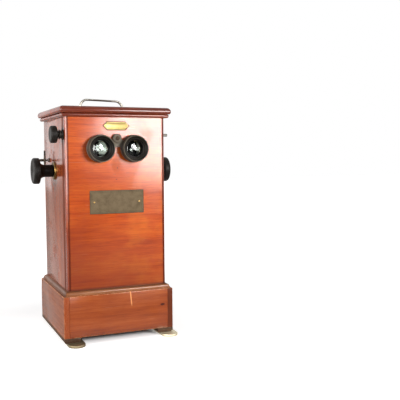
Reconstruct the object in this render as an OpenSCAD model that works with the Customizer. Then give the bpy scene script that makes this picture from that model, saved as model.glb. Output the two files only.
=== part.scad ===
// Tabletop chain stereo viewer: a wooden cabinet with two focusing eyepieces,
// an endless chain of glass slides on a knob-turned shaft, and a rear door.
// Origin: on the table under the middle of the cabinet. Front faces -Y.

/* [Cabinet] */
// Width of the cabinet over its side walls
body_w = 187; // [186:1:230]
// Depth of the cabinet from front panel to rear door
body_d = 192; // [188:1:230]
// Height of the cabinet walls, from under the plinth to the lid board
wall_h = 402; // [398:1:460]
// Thickness of the side walls
side_t = 10; // [8:0.5:11]
// Thickness of the front panel
front_t = 8; // [7:0.5:9]
// Thickness of the rear door and its fixed boards
back_t = 10; // [8:0.5:11]
// Radius of the rounded upright edges of the front panel
front_edge_r = 5; // [3:0.5:6]
// Thickness of the floor board
floor_t = 10; // [6:1:12]

/* [Plinth and feet] */
// Thickness of the plinth boards
plinth_t = 10; // [8:0.5:12]
// Height of the plinth boards
plinth_h = 75; // [60:1:90]
// Height of the moulding on top of the plinth
moulding_h = 8.5; // [6:0.5:10]
// Width of that moulding, out from the walls
moulding_w = 6.5; // [5:0.5:7.5]
// Height of the wooden runners under the plinth
runner_h = 9; // [7:0.5:14]
// Width of the runners
runner_w = 30; // [24:1:40]
// Thickness of the metal foot straps
strap_t = 4.5; // [3:0.5:6]
// Width of the foot straps
strap_w = 31; // [24:1:36]
// How far the foot straps reach past the plinth, front and back
strap_reach = 20; // [16:1:26]
// Sideways set of both straps from their runners
strap_shift = 6; // [0:0.5:8]
// Radius of the screws that hold the straps
strap_screw_r = 2.2; // [1.5:0.1:3]

/* [Lid and handle] */
// Thickness of the lid board
lid_t = 11.8; // [9:0.2:16]
// Overhang of the lid board past the walls
lid_over = 10.6; // [9:0.1:16]
// Height of the bead moulding under the lid board
bead_h = 7; // [5:0.5:9]
// Width of that bead, out from the walls
bead_w = 6.8; // [6:0.1:9]
// Distance between the two feet of the handle
handle_span = 85; // [70:1:110]
// Height of the middle of the grip above the lid
handle_rise = 20; // [18:0.5:30]
// Thickness of the grip
handle_t = 4; // [3:0.5:6]
// Width of the grip, front to back
handle_w = 11; // [8:0.5:16]
// Width of the handle's thin legs
handle_leg_w = 5; // [4:0.5:6]
// How much lower the grip sits at its right end
handle_drop = 2.4; // [0:0.2:4]
// Radius of the round plates under the handle's legs
handle_plate_r = 7; // [5:0.5:9]

/* [Eyepieces] */
// Distance between the two eyepiece axes
eye_sep = 63; // [62:0.5:66]
// Height of the eyepiece axes above the main shaft
eye_above_shaft = 40.8; // [39:0.2:42]
// Radius of the eyecups
eyecup_r = 25; // [24:0.5:26]
// Length of the eyecups in front of the bridge
eyecup_l = 13; // [10:0.5:18]
// Radius of the looking hole through the eyecups
eye_hole_r = 15; // [13:0.5:15]
// Outside radius of the lens barrels
barrel_r = 18.9; // [18:0.1:19.5]
// Wall of the lens barrels
barrel_wall = 2.9; // [2:0.1:3.2]
// Length of the lens barrels
barrel_l = 23; // [21:0.5:25]
// Thickness of the lenses at the middle
lens_t = 6.5; // [5:0.5:7]
// Thickness of the lenses at the rim
lens_edge_t = 2.6; // [2:0.2:3]
// Wall of the brass guide sleeves in the front panel
sleeve_wall = 1.9; // [1.5:0.1:2.2]
// Thickness of the bridge that joins the barrels
bridge_t = 5; // [4:0.5:7]
// Gap between bridge and front panel at rest
bridge_gap = 2; // [1.8:0.1:4]
// Radius of the boss on the bridge
boss_r = 8.2; // [7.5:0.1:9]

/* [Focus drive] */
// Height of the focus rod above the eyepiece axes
rod_above_eye = 18.6; // [18.4:0.1:20]
// Radius of the focus rod
rod_r = 4.5; // [4:0.1:4.8]
// Length of the focus rod behind the bridge
rod_l = 53; // [50:1:56]
// Module of the rack and pinion teeth
tooth_module = 0.9; // [0.8:0.05:0.95]
// Number of teeth on the pinion
pinion_teeth = 12; // [11:1:13]
// Width of the pinion
pinion_w = 6; // [4:0.5:7]
// Radius of the focus shaft
focus_shaft_r = 3; // [2.6:0.1:3]
// Distance of the focus shaft behind the front of the cabinet
focus_shaft_back = 18; // [17:0.5:19]
// Radius of the focus knob
focus_knob_r = 15.3; // [12:0.1:18]
// Thickness of the focus knob's disc
focus_knob_t = 11.6; // [6:0.2:14]
// Length of the focus collar outside the wall
focus_collar_l = 7.5; // [5:0.5:9]
// Radius of the focus collar
focus_collar_r = 9.25; // [8.5:0.25:9.5]
// How far the bare end of the focus shaft stands out on the right
focus_stub_l = 12; // [6:0.5:16]

/* [Main drive] */
// Height of the main shaft above the table
main_z = 311.2; // [308:0.2:314]
// Radius of the main shaft
main_r = 5; // [4:0.25:6]
// Radius of the main knobs
knob_r = 24.5; // [20:0.5:30]
// Thickness of the disc of a main knob
knob_t = 12.4; // [8:0.2:14]
// Radius of the hub of a main knob
hub_r = 11.6; // [9.5:0.1:13]
// Length of the hub and its flare
hub_l = 25.6; // [22:0.2:36]
// Radius of the brass collars on the side walls
collar_r = 17.25; // [15:0.25:20]
// Thickness of the brass collars
collar_t = 3; // [2:0.5:5]
// Radius of the collar's neck through the wall
collar_neck_r = 9; // [8:0.5:11]

/* [Slide chain] */
// Radius of the chain wheels
wheel_r = 14.7; // [14:0.1:15.2]
// Number of slides in the chain
slide_count = 25; // [24:1:26]
// Width of a glass slide
slide_w = 107; // [100:1:107]
// Height of a glass slide
slide_h = 45; // [40:0.5:45]
// Thickness of a glass slide
slide_t = 1.4; // [1:0.1:1.8]
// Thickness of the chain bands
band_t = 1.2; // [0.8:0.1:1.4]
// Width of the chain bands
band_w = 5; // [4:0.5:6]
// Radius of the lower roller's axle
low_axle_r = 4; // [3:0.5:5]

/* [Detent lever] */
// Distance of the lever's spindle behind the main shaft
spindle_back = 45; // [43:0.5:47]
// Height of the spindle above the main shaft
spindle_up = 19.8; // [19:0.2:21]
// Radius of the spindle
spindle_r = 1.5; // [1.25:0.05:1.75]
// Height of the lever's blade above its spindle
blade_up = 19; // [14:0.5:26]
// Length of the blade below its spindle
blade_down = 9; // [6:0.5:12]
// Radius of the notched wheel
star_r = 24; // [23:0.5:25]
// Radius of the detent roller
roller_r = 4; // [3:0.5:5]

/* [Rear door] */
// Width of the light window in the door
window_w = 116; // [100:1:126]
// Height of the light window
window_h = 52; // [44:1:60]
// Thickness of the ground glass
window_glass_t = 2.5; // [2:0.5:4]
// Height of a door hinge
hinge_h = 40; // [30:1:50]
// Radius of the hinge knuckles
knuckle_r = 2.7; // [2.4:0.1:3]
// Radius of the hinge pins
hinge_pin_r = 1.3; // [1:0.1:1.5]

/* [Plates] */
// Width of the large plate
large_plate_w = 102; // [90:1:110]
// Height of the large plate
large_plate_h = 43; // [36:1:50]
// Height of the middle of the large plate below the eyepiece axes
large_plate_below = 97; // [80:1:120]
// Width of the small plate between its points
small_plate_w = 47; // [40:1:56]
// Height of the small plate
small_plate_h = 13.8; // [10:0.2:14]
// Height of the small plate above the eyepiece axes
small_plate_above = 41.1; // [38.5:0.1:42]
// Thickness of both plates
plate_t = 0.9; // [0.6:0.1:1.5]

/* [Hidden] */
$fn = 64;

// Clearances
run_gap = 0.05;      // radial running clearance of a shaft or barrel
set_gap = 0.02;      // radial clearance of a part fixed on a shaft
seat_gap = 0.3;      // clearance between moving parts that face each other
door_gap = 0.4;      // gap around the rear door
mitre_gap = 0.1;     // joint line between mitred strips
eps = 1;             // how far a cutting solid runs past a face

// Levels
plinth_z = strap_t + runner_h;
plinth_top = plinth_z + plinth_h;
moulding_top = plinth_top + moulding_h;
wall_top = plinth_z + wall_h;
bead_z = wall_top - bead_h;
lid_top = wall_top + lid_t;
eye_z = main_z + eye_above_shaft;
rod_z = eye_z + rod_above_eye;
pinion_r = tooth_module * pinion_teeth / 2;
pitch_z = rod_z + 1.4;
focus_z = pitch_z + pinion_r;

// Faces of the cabinet
side_x = body_w / 2;
inner_x = side_x - side_t;
front_y = -body_d / 2;
panel_y = front_y + front_t;
back_y = body_d / 2;
door_y = back_y - back_t;

// Eyepieces, from the front panel forward
bridge_y = front_y - bridge_gap;
bridge_front_y = bridge_y - bridge_t;
eyecup_front_y = bridge_front_y - eyecup_l;
barrel_end_y = bridge_front_y + barrel_l;
barrel_bore_r = barrel_r - barrel_wall;
lens_r = barrel_bore_r - run_gap;
lens_stop_r = barrel_bore_r - 1.5;
ring_l = 1.8;
spigot_l = 6;
lens_front_y = bridge_front_y + spigot_l + 0.1 + ring_l;
lens_back_y = lens_front_y + lens_edge_t;
lens_stop_l = lens_back_y - bridge_front_y;
sleeve_r = barrel_r + run_gap + sleeve_wall;
sleeve_flange_r = sleeve_r + 2;
sleeve_flange_t = 2;
sleeve_tail = 6;

// Focus drive
focus_y = front_y + focus_shaft_back;
focus_stub_r = focus_shaft_r - 0.4;
focus_neck_r = focus_shaft_r + 2;
focus_seat_l = 11;
rod_bore_r = rod_r + run_gap;
addendum = 0.6 * tooth_module;
dedendum = 0.85 * tooth_module;
tooth_pitch = PI * tooth_module;
tooth_fill = 0.38;
guide_w = 18;
guide_cheek = 4;
guide_floor = 5;
guide_y0 = panel_y;
guide_y1 = panel_y + 32;
guide_pocket_y0 = focus_y - 7;
guide_pocket_y1 = focus_y + 14;

// Main drive
slides_per_turn = 5;
knob_face_x = side_x + collar_t + seat_gap + hub_l + knob_t;
wheel_x = slide_w / 2 + 4.5;
band_in_r = wheel_r + seat_gap;
band_out_r = band_in_r + band_t;
band_mid_r = band_in_r + band_t / 2;
slide_pitch = 2 * PI * band_mid_r / slides_per_turn;
strand_l = (slide_count - slides_per_turn) * slide_pitch / 2;
low_z = main_z - strand_l;
bearing_l = 7;
bearing_wall = 8;
carrier_base = 2;
carrier_wall = 2;
carrier_depth = 4;
carrier_relief = 16;
slide_in_r = band_out_r + carrier_base + 0.1;

// Detent
star_x = wheel_x + band_w / 2 + 9;
star_t = 5;
star_notch_r = roller_r + 1;
star_notch_depth = star_notch_r - 2;
spindle_y = spindle_back;
spindle_z = main_z + spindle_up;
detent_line = sqrt(spindle_back * spindle_back + spindle_up * spindle_up);
roller_path_r = star_r + roller_r + seat_gap;
arm_angle = atan2(spindle_up, spindle_back) + acos(roller_path_r / detent_line);
roller_y = roller_path_r * cos(arm_angle);
roller_z = main_z + roller_path_r * sin(arm_angle);
blade_t = 3;
blade_x = side_x + 7.9;
spindle_out_x = side_x + 20;
detent_bush_r = 4;
detent_bush_l = 3.4;

// Door
lower_rail = 3.4;
upper_rail = 12;
door_z0 = moulding_top + lower_rail;
door_z1 = bead_z - upper_rail;
glass_lap = 3;
window_z = min(eye_z, door_z1 - window_h / 2 - 4 * glass_lap);
hinge_x = inner_x;
hinge_y = back_y + knuckle_r + 0.2;
hinge_leaf_t = 1.2;
hinge_leaf_w = 22;
hinge_seg = (hinge_h - 0.6) / 3;
hinge_inset = 50;
hinge_zs = [door_z0 + hinge_inset, door_z1 - hinge_inset];
button_pin_r = 1.5;
button_pin_l = 7.5;
button_z = (door_z0 + door_z1) / 2 - button_pin_l;
button_x = side_x - side_t / 2;
pull_inset = 14;
pull_z = button_z - 30;

// ---------- Shapes used more than once ----------

// A board between two corners
module board(x0, x1, y0, y1, z0, z1) {
    translate([x0, y0, z0]) cube([x1 - x0, y1 - y0, z1 - z0]);
}

// Points of a quarter circle from angle a0 to a1
function arc(cx, cy, r, a0, a1, n = 8) =
    [for (i = [0 : n]) [cx + r * cos(a0 + (a1 - a0) * i / n), cy + r * sin(a0 + (a1 - a0) * i / n)]];

// A round bar along X, from x0 to x1
module bar_x(x0, x1, y, z, r) {
    translate([x0, y, z]) rotate([0, 90, 0]) cylinder(h = x1 - x0, r = r);
}

// A round bar along Y, from y0 to y1
module bar_y(x, y0, y1, z, r) {
    translate([x, y1, z]) rotate([90, 0, 0]) cylinder(h = y1 - y0, r = r);
}

// A turned piece on an axis that leaves the front panel, profile in (radius, depth)
module turned_y(x, y, z, profile) {
    translate([x, y, z]) rotate([-90, 0, 0]) rotate_extrude() polygon(profile);
}

// A turned piece on the main axis direction: side -1 is left, profile in (radius, outward)
module turned_x(side, x, y, z, profile) {
    translate([side * x, y, z]) rotate([0, side * 90, 0]) rotate_extrude() polygon(profile);
}

// A straight strip along X with a profile in (outward, up), mitred at both ends
module mitred_strip(length, reach, profile) {
    intersection() {
        translate([-length / 2 - reach, 0, 0]) rotate([90, 0, 90])
            linear_extrude(length + 2 * reach) polygon([for (p = profile) [-p[0], p[1]]]);
        linear_extrude(max([for (p = profile) p[1]]) + eps) polygon([
            [-length / 2 + mitre_gap, eps], [length / 2 - mitre_gap, eps], [length / 2 - mitre_gap, 0],
            [length / 2 + reach - mitre_gap, -reach], [-length / 2 - reach + mitre_gap, -reach],
            [-length / 2 + mitre_gap, 0]]);
    }
}

// Four mitred strips round the cabinet walls at height z
module mitred_frame(z, reach, profile) {
    for (turn = [0 : 3]) {
        odd = turn % 2 == 1;
        translate([0, 0, z]) rotate([0, 0, 90 * turn])
            translate([0, -(odd ? side_x : body_d / 2), 0])
                mitred_strip(odd ? body_d : body_w, reach, profile);
    }
}

// ---------- Cabinet ----------

module front_panel() {
    r = front_edge_r;
    color("sienna") difference() {
        translate([0, 0, plinth_z]) linear_extrude(wall_h) polygon(concat(
            arc(-side_x + r, front_y + r, r, 180, 270), arc(side_x - r, front_y + r, r, 270, 360),
            [[side_x, panel_y], [-side_x, panel_y]]));
        for (s = [-1, 1])
            bar_y(s * eye_sep / 2, front_y - eps, panel_y + eps, eye_z, sleeve_r + set_gap);
        bar_y(0, front_y - eps, panel_y + eps, rod_z, rod_r + 0.5);
    }
}

// One side wall; side -1 is the left one
module side_wall(side) {
    inside = side * inner_x;
    outside = side * side_x;
    difference() {
        board(min(inside, outside), max(inside, outside), panel_y, back_y, plinth_z, wall_top);
        bar_x(min(inside, outside) - eps, max(inside, outside) + eps, 0, main_z, collar_neck_r + set_gap);
        bar_x(min(inside, outside) - eps, max(inside, outside) + eps, focus_y, focus_z,
            focus_neck_r + set_gap);
        if (side < 0) {
            bar_x(outside - eps, inside + eps, spindle_y, spindle_z, spindle_r + 1 + set_gap);
            bar_y(-button_x, back_y - button_pin_l - 0.5, back_y + eps, button_z, button_pin_r + 0.1);
        }
    }
}

module left_side() { color("peru") side_wall(-1); }

module right_side() { color("peru") side_wall(1); }

module floor_board() {
    color("burlywood") board(-inner_x, inner_x, panel_y, door_y, plinth_z, plinth_z + floor_t);
}

module back_lower_board() {
    color("peru") board(-inner_x, inner_x, door_y, back_y, plinth_z, door_z0 - door_gap);
}

module back_top_rail() {
    color("peru") board(-inner_x, inner_x, door_y, back_y, door_z1 + door_gap, wall_top);
}

module lid_board() {
    w = body_w / 2 + lid_over;
    d = body_d / 2 + lid_over;
    upper_r = 0.6 * lid_t;
    lower_r = 0.2 * lid_t;
    levels = concat([0, lower_r / 2, lower_r], [for (i = [0 : 5]) lid_t - upper_r + upper_r * i / 5]);
    // rounded upper and lower edges, built as thin layers that step in with the curve
    color("saddlebrown") for (i = [0 : len(levels) - 2]) {
        mid = (levels[i] + levels[i + 1]) / 2;
        r = mid < lower_r ? lower_r : upper_r;
        past = max(0, lower_r - mid, mid - lid_t + upper_r);
        inset = 0.75 * (r - sqrt(r * r - past * past));
        board(-w + inset, w - inset, -d + inset, d - inset, wall_top + levels[i], wall_top + levels[i + 1]);
    }
}

module lid_moulding() {
    r = bead_h / 2;
    profile = concat([[0, bead_h], [0, 0]], arc(bead_w - r, r, r, -90, 90));
    color("saddlebrown") mitred_frame(bead_z, bead_w, profile);
}

// ---------- Plinth and feet ----------

module plinth_front() {
    color("sienna") board(-side_x, side_x, front_y - plinth_t, front_y, plinth_z, plinth_top);
}

module plinth_back() {
    color("sienna") board(-side_x, side_x, back_y, back_y + plinth_t, plinth_z, plinth_top);
}

module plinth_side(side) {
    x0 = side < 0 ? -side_x - plinth_t : side_x;
    board(x0, x0 + plinth_t, front_y - plinth_t, back_y + plinth_t, plinth_z, plinth_top);
}

module plinth_left() { color("sienna") plinth_side(-1); }

module plinth_right() { color("sienna") plinth_side(1); }

module plinth_moulding() {
    r = moulding_w - 1.5;
    h = moulding_h;
    profile = concat([[0, h], [0, 0], [moulding_w, 0], [moulding_w, h - r - 1]],
        arc(moulding_w - r, h - r - 0.4, r, 0, 90, 6), [[1, h]]);
    color("saddlebrown") mitred_frame(plinth_top, moulding_w, profile);
}

// A runner with a set-back lower edge
module runner(side) {
    x = side * (side_x + plinth_t - runner_w / 2);
    setback = 2;
    low = 3;
    y = back_y + plinth_t;
    union() {
        board(x - runner_w / 2, x + runner_w / 2, -y, y, strap_t + low, plinth_z);
        board(x - runner_w / 2 + setback, x + runner_w / 2 - setback, -y + setback, y - setback,
            strap_t, strap_t + low);
    }
}

module runner_left() { color("saddlebrown") runner(-1); }

module runner_right() { color("saddlebrown") runner(1); }

function strap_x(side) = side * (side_x + plinth_t - runner_w / 2) + strap_shift;
strap_screw_ys = [-body_d / 2 + 6, 0, body_d / 2 - 6];

// A metal strap with round ends, holed for its countersunk screws
module strap(side) {
    r = strap_w / 2;
    end_y = back_y + plinth_t + strap_reach - r;
    translate([strap_x(side), 0, 0]) difference() {
        linear_extrude(strap_t) polygon(concat(arc(0, -end_y, r, 180, 360, 16), arc(0, end_y, r, 0, 180, 16)));
        for (y = strap_screw_ys) {
            translate([0, y, -eps]) cylinder(h = strap_t + 2 * eps, r = strap_screw_r + set_gap);
            translate([0, y, -eps]) cylinder(h = eps + 1.5, r = 2 * strap_screw_r + set_gap);
        }
    }
}

module strap_left() { color("darkkhaki") strap(-1); }

module strap_right() { color("darkkhaki") strap(1); }

module strap_screws() {
    color("gray") for (side = [-1, 1], y = strap_screw_ys) translate([strap_x(side), y, 0]) {
        translate([0, 0, 0.3]) cylinder(h = 1.2, r = 2 * strap_screw_r);
        translate([0, 0, 0.3]) cylinder(h = strap_t - 0.3, r = strap_screw_r);
    }
}

// ---------- Handle and plates ----------

// Height of the bow's middle line above the lid, at a distance x from its middle
function bow_z(x) = let (half = handle_span / 2, t = min(1, (half - abs(x)) / 14))
    2 + (handle_rise - 2 - handle_drop * (0.5 + x / handle_span)) * pow(1 - pow(1 - t, 2), 0.5);

// Half width of the bow, front to back
function bow_w(x) = let (t = min(1, (handle_span / 2 - abs(x)) / 26))
    (handle_leg_w + (handle_w - handle_leg_w) * t * t * (3 - 2 * t)) / 2;

module handle() {
    half = handle_span / 2;
    t = handle_t / 2;
    xs = [for (i = [-24 : 24]) half * sin(90 * i / 24)];
    leg = handle_leg_w / 2;
    color("silver") intersection() {
        translate([0, 0, lid_top]) rotate([90, 0, 0]) linear_extrude(handle_w + 2, center = true)
            polygon(concat([[-half - t, 0.8]], [for (x = xs) [x * (1 + t / half), bow_z(x) + t]],
                [[half + t, 0.8], [half - t, 0.8]],
                [for (i = [len(xs) - 1 : -1 : 0]) [xs[i] * (1 - t / half), bow_z(xs[i]) - t]],
                [[-half + t, 0.8]]));
        translate([0, 0, lid_top - 1]) linear_extrude(handle_rise + 10)
            polygon(concat([[-half - 4, -leg]], [for (x = xs) [x, -bow_w(x)]], [[half + 4, -leg], [half + 4, leg]],
                [for (i = [len(xs) - 1 : -1 : 0]) [xs[i], bow_w(xs[i])]], [[-half - 4, leg]]));
    }
}

module handle_plates() {
    color("silver") for (s = [-1, 1])
        translate([s * handle_span / 2, 0, lid_top]) cylinder(h = 0.8, r = handle_plate_r);
}

// A flat plate on the front panel with pointed ends
module small_plate() {
    w = small_plate_w / 2;
    h = small_plate_h / 2;
    color("gold") translate([0, front_y, eye_z + small_plate_above]) rotate([90, 0, 0])
        linear_extrude(plate_t) difference() {
            polygon([[-w, 0], [-w + 4.8, -h], [w - 4.8, -h], [w, 0], [w - 4.8, h], [-w + 4.8, h]]);
            for (s = [-1, 1]) translate([s * (w - 4.4), 0]) circle(r = 0.7 + set_gap);
        }
}

module large_plate() {
    color("tan") translate([0, front_y, eye_z - large_plate_below]) rotate([90, 0, 0])
        linear_extrude(plate_t) difference() {
            square([large_plate_w, large_plate_h], center = true);
            for (s = [-1, 1]) translate([s * (large_plate_w / 2 - 8.4), 0]) circle(r = 0.9 + set_gap);
        }
}

// A pin with a low round head through a plate of the front panel
module plate_pin(x, z, r) {
    turned_y(x, front_y - plate_t - 0.8, z,
        [[0, 0], [r * 1.2, 0.15], [r * 1.8, 0.5], [r * 1.8, 0.8], [r, 0.8], [r, 0.8 + plate_t], [0, 0.8 + plate_t]]);
}

module plate_pins() {
    color("goldenrod") for (s = [-1, 1]) {
        plate_pin(s * (small_plate_w / 2 - 4.4), eye_z + small_plate_above, 0.7);
        plate_pin(s * (large_plate_w / 2 - 8.4), eye_z - large_plate_below, 0.9);
    }
}

// ---------- Bushes and guides ----------

// Turned brass collar of the main shaft
module collar(side) {
    turned_x(side, inner_x, 0, main_z, [
        [main_r + run_gap, 0], [collar_neck_r, 0], [collar_neck_r, side_t],
        [collar_r, side_t], [collar_r, side_t + collar_t - 1], [collar_r - 1.2, side_t + collar_t],
        [main_r + run_gap, side_t + collar_t]]);
}

module collar_left() { color("goldenrod") collar(-1); }

module collar_right() { color("goldenrod") collar(1); }

module focus_collar() {
    neck = focus_neck_r;
    r = focus_collar_r;
    l = side_t + focus_collar_l;
    color("dimgray") turned_x(-1, inner_x, focus_y, focus_z, [
        [focus_shaft_r + run_gap, 0], [neck, 0], [neck, side_t], [r, side_t], [r, side_t + 2],
        [r - 2, side_t + 2.8], [r - 2, l - 2.6], [r - 0.6, l - 1.8], [r - 0.6, l - 0.6], [r - 1.4, l],
        [focus_shaft_r + run_gap, l]]);
}

module focus_bush() {
    neck = focus_neck_r;
    color("goldenrod") turned_x(1, inner_x, focus_y, focus_z, [
        [focus_shaft_r + run_gap, 0], [neck, 0], [neck, side_t], [neck + 1.6, side_t],
        [neck + 1.6, side_t + 0.6], [focus_shaft_r + run_gap, side_t + 0.6]]);
}

// Flanged brass sleeve that a lens barrel slides in
module sleeve(side) {
    r0 = barrel_r + run_gap;
    color("goldenrod") turned_y(side * eye_sep / 2, front_y, eye_z, [
        [r0, 0], [sleeve_r, 0], [sleeve_r, front_t], [sleeve_flange_r, front_t],
        [sleeve_flange_r, front_t + sleeve_flange_t], [sleeve_r, front_t + sleeve_flange_t],
        [sleeve_r, front_t + sleeve_tail], [r0, front_t + sleeve_tail]]);
}

module sleeve_left() { sleeve(-1); }

module sleeve_right() { sleeve(1); }

// Brass block behind the panel: guides the focus rod, and bears the focus shaft in its cheeks
module rod_guide() {
    z0 = rod_z - rod_r - guide_floor;
    z1 = focus_z + focus_shaft_r + 3;
    w = guide_w / 2;
    color("goldenrod") difference() {
        board(-w, w, guide_y0, guide_y1, z0, z1);
        board(-w + guide_cheek, w - guide_cheek, guide_pocket_y0, guide_pocket_y1, rod_z - rod_r - 0.5, z1 + eps);
        bar_y(0, guide_y0 - eps, guide_y1 + eps, rod_z, rod_bore_r);
        bar_x(-w - eps, w + eps, focus_y, focus_z, focus_shaft_r + run_gap);
    }
}

// Partition between the two light paths
module septum() {
    t = 3;
    color("black") board(-t / 2, t / 2, panel_y, panel_y + 20, eye_z - 24, rod_z - rod_r - guide_floor);
}

// ---------- Slide chain ----------

// Place of slide number i: 0 stands upright on the top wheel
module at_slide(i) {
    s = i * slide_pitch;
    half_turn = PI * band_mid_r;
    total = slide_count * slide_pitch;
    u = (s + half_turn / 2) % total;
    if (u < half_turn)
        translate([0, 0, main_z]) rotate([-(u / half_turn) * 180 + 90, 0, 0]) children();
    else if (u < half_turn + strand_l)
        translate([0, 0, main_z - (u - half_turn)]) rotate([-90, 0, 0]) children();
    else if (u < 2 * half_turn + strand_l)
        translate([0, 0, low_z]) rotate([-90 - (u - half_turn - strand_l) / half_turn * 180, 0, 0]) children();
    else
        translate([0, 0, low_z + (u - 2 * half_turn - strand_l)]) rotate([90, 0, 0]) children();
}

// Outline of one band seen along X, with radius r
module loop_outline(r) {
    union() {
        circle(r = r);
        translate([0, -strand_l]) circle(r = r);
        translate([-r, -strand_l]) square([2 * r, strand_l]);
    }
}

module chain_bands() {
    color("dimgray") for (s = [-1, 1])
        translate([s * wheel_x - band_w / 2, 0, main_z]) rotate([90, 0, 90]) linear_extrude(band_w)
            difference() {
                loop_outline(band_out_r);
                loop_outline(band_in_r);
            }
}

// A U-shaped frame that stands out from the bands and holds one slide by its ends
module slide_carriers() {
    half = slide_w / 2;
    color("gray") for (i = [0 : slide_count - 1]) at_slide(i) difference() {
        translate([-wheel_x - band_w / 2, -carrier_depth / 2, band_out_r + 0.05])
            cube([2 * wheel_x + band_w, carrier_depth, carrier_base + slide_h * 0.8]);
        translate([-half + 2, -carrier_depth, slide_in_r])
            cube([slide_w - 4, 2 * carrier_depth, slide_h]);
        translate([-half - 0.2, -slide_t / 2 - 0.1, slide_in_r])
            cube([slide_w + 0.4, slide_t + 0.2, slide_h]);
        for (s = [-1, 1])
            translate([s * (half + carrier_wall + carrier_relief / 2) - carrier_relief / 2, -carrier_depth, slide_in_r])
                cube([carrier_relief, 2 * carrier_depth, slide_h]);
    }
}

module glass_slides() {
    color("lightsteelblue", 0.6) for (i = [0 : slide_count - 1]) at_slide(i)
        translate([-slide_w / 2, -slide_t / 2, slide_in_r + 0.05]) cube([slide_w, slide_t, slide_h]);
}

module low_bearings() {
    x = inner_x - bearing_l;
    y = low_axle_r + bearing_wall;
    z = y + 2;
    color("goldenrod") for (s = [-1, 1]) difference() {
        board(min(s * inner_x, s * x), max(s * inner_x, s * x), -y, y, low_z - z, low_z + z);
        bar_x(-side_x, side_x, 0, low_z, low_axle_r + run_gap);
    }
}

// ---------- Eyepieces ----------

module eyecup(side) {
    r = eyecup_r;
    l = eyecup_l;
    h = eye_hole_r;
    spigot_r = barrel_bore_r - set_gap;
    taper = 0.8;
    groove = 0.8;
    rim = r - taper;
    function ring_r(n) = rim + taper * n / 3;
    color("dimgray") turned_y(side * eye_sep / 2, eyecup_front_y, eye_z, concat([
        [h, l + spigot_l], [h, 7], [h + 0.4, 6.6], [h + 3, 6.3], [h + 3.4, 5.9], [h + 3.4, 3.7],
        [h + 3.7, 3.3], [rim - 2.8, 3.1], [rim - 2.4, 2.7], [rim - 2.4, 0.9], [rim - 2, 0.3], [rim - 1.5, 0.1],
        [rim - 0.9, 0.1], [rim - 0.2, 0.7], [rim, 1.4], [rim, 2.6]],
        [for (n = [1 : 3]) each [[ring_r(n - 1) - groove, 3 * n - 0.1], [ring_r(n - 1) - groove, 3 * n + 0.3],
            [ring_r(n) - 0.1, 3 * n + 0.7], [ring_r(n), 3 * n + 1], [ring_r(n), 3 * n + 2.6]]],
        [[r, l - 0.8], [r - 0.8, l], [spigot_r, l], [spigot_r, l + spigot_l]]));
}

module eyecup_left() { eyecup(-1); }

module eyecup_right() { eyecup(1); }

// Lens barrel, with a step in its bore that the lens rests against
module barrel(side) {
    color("goldenrod") turned_y(side * eye_sep / 2, bridge_front_y, eye_z, [
        [barrel_bore_r, 0], [barrel_r, 0], [barrel_r, barrel_l], [lens_stop_r, barrel_l],
        [lens_stop_r, lens_stop_l], [barrel_bore_r, lens_stop_l]]);
}

module barrel_left() { barrel(-1); }

module barrel_right() { barrel(1); }

// Sagitta of a lens face of radius big at distance r from its middle
function sag(r, big) = big - sqrt(big * big - r * r);

// Double-bulged lenses, turned about their axes
module lenses() {
    bulge = (lens_t - lens_edge_t) / 2;
    face_r = lens_stop_r - 0.3;
    big = (face_r * face_r + bulge * bulge) / (2 * bulge);
    steps = 10;
    rs = [for (i = [0 : steps]) face_r * i / steps];
    color("lightcyan", 0.6) for (s = [-1, 1])
        turned_y(s * eye_sep / 2, lens_front_y, eye_z, concat(
            [for (r = rs) [r, sag(r, big) - bulge]],
            [[lens_r, 0], [lens_r, lens_edge_t]],
            [for (i = [steps : -1 : 0]) [rs[i], lens_edge_t + bulge - sag(rs[i], big)]]));
}

module lens_rings() {
    color("black") for (s = [-1, 1]) turned_y(s * eye_sep / 2, lens_front_y - ring_l, eye_z, [
        [lens_stop_r, 0.4], [lens_stop_r + 0.4, 0], [lens_r, 0], [lens_r, ring_l], [lens_stop_r, ring_l]]);
}

// Two rings on the barrels, joined by a web that carries the boss of the focus rod
module bridge() {
    ring_r = eyecup_r - 0.5;
    half = eye_sep / 2;
    color("dimgray") difference() {
        union() {
            for (s = [-1, 1]) bar_y(s * half, bridge_front_y, bridge_y, eye_z, ring_r);
            translate([0, bridge_y, eye_z]) rotate([90, 0, 0]) linear_extrude(bridge_t)
                polygon([[-half + 8, 4], [0, 2.6], [half - 8, 4], [half - 14, 17], [6, rod_above_eye - 1],
                    [-6, rod_above_eye - 1], [-half + 14, 17]]);
            bar_y(0, bridge_front_y - 2, bridge_y, rod_z, boss_r);
        }
        for (s = [-1, 1]) bar_y(s * half, bridge_front_y - 3, bridge_y + eps, eye_z, barrel_r + set_gap);
        bar_y(0, bridge_front_y - 3, bridge_y + eps, rod_z, rod_r - 1.5 + set_gap);
    }
}

module bridge_screw() {
    head_r = 3.9;
    y = bridge_front_y - 2;
    color("gray") difference() {
        bar_y(0, y - 1.2, y, rod_z, head_r);
        board(-head_r - eps, head_r + eps, y - 1.2 - eps, y - 0.7, rod_z - 0.45, rod_z + 0.45);
    }
}

// Outline of one rack tooth, in (along the rack, up from the pitch line)
function rack_tooth(n) = let (m = n * tooth_pitch, a = tooth_fill * tooth_pitch / 2)
    [[m - a - dedendum * 0.36, -dedendum], [m - a + addendum * 0.36, addendum],
     [m + a - addendum * 0.36, addendum], [m + a + dedendum * 0.36, -dedendum]];

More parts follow.
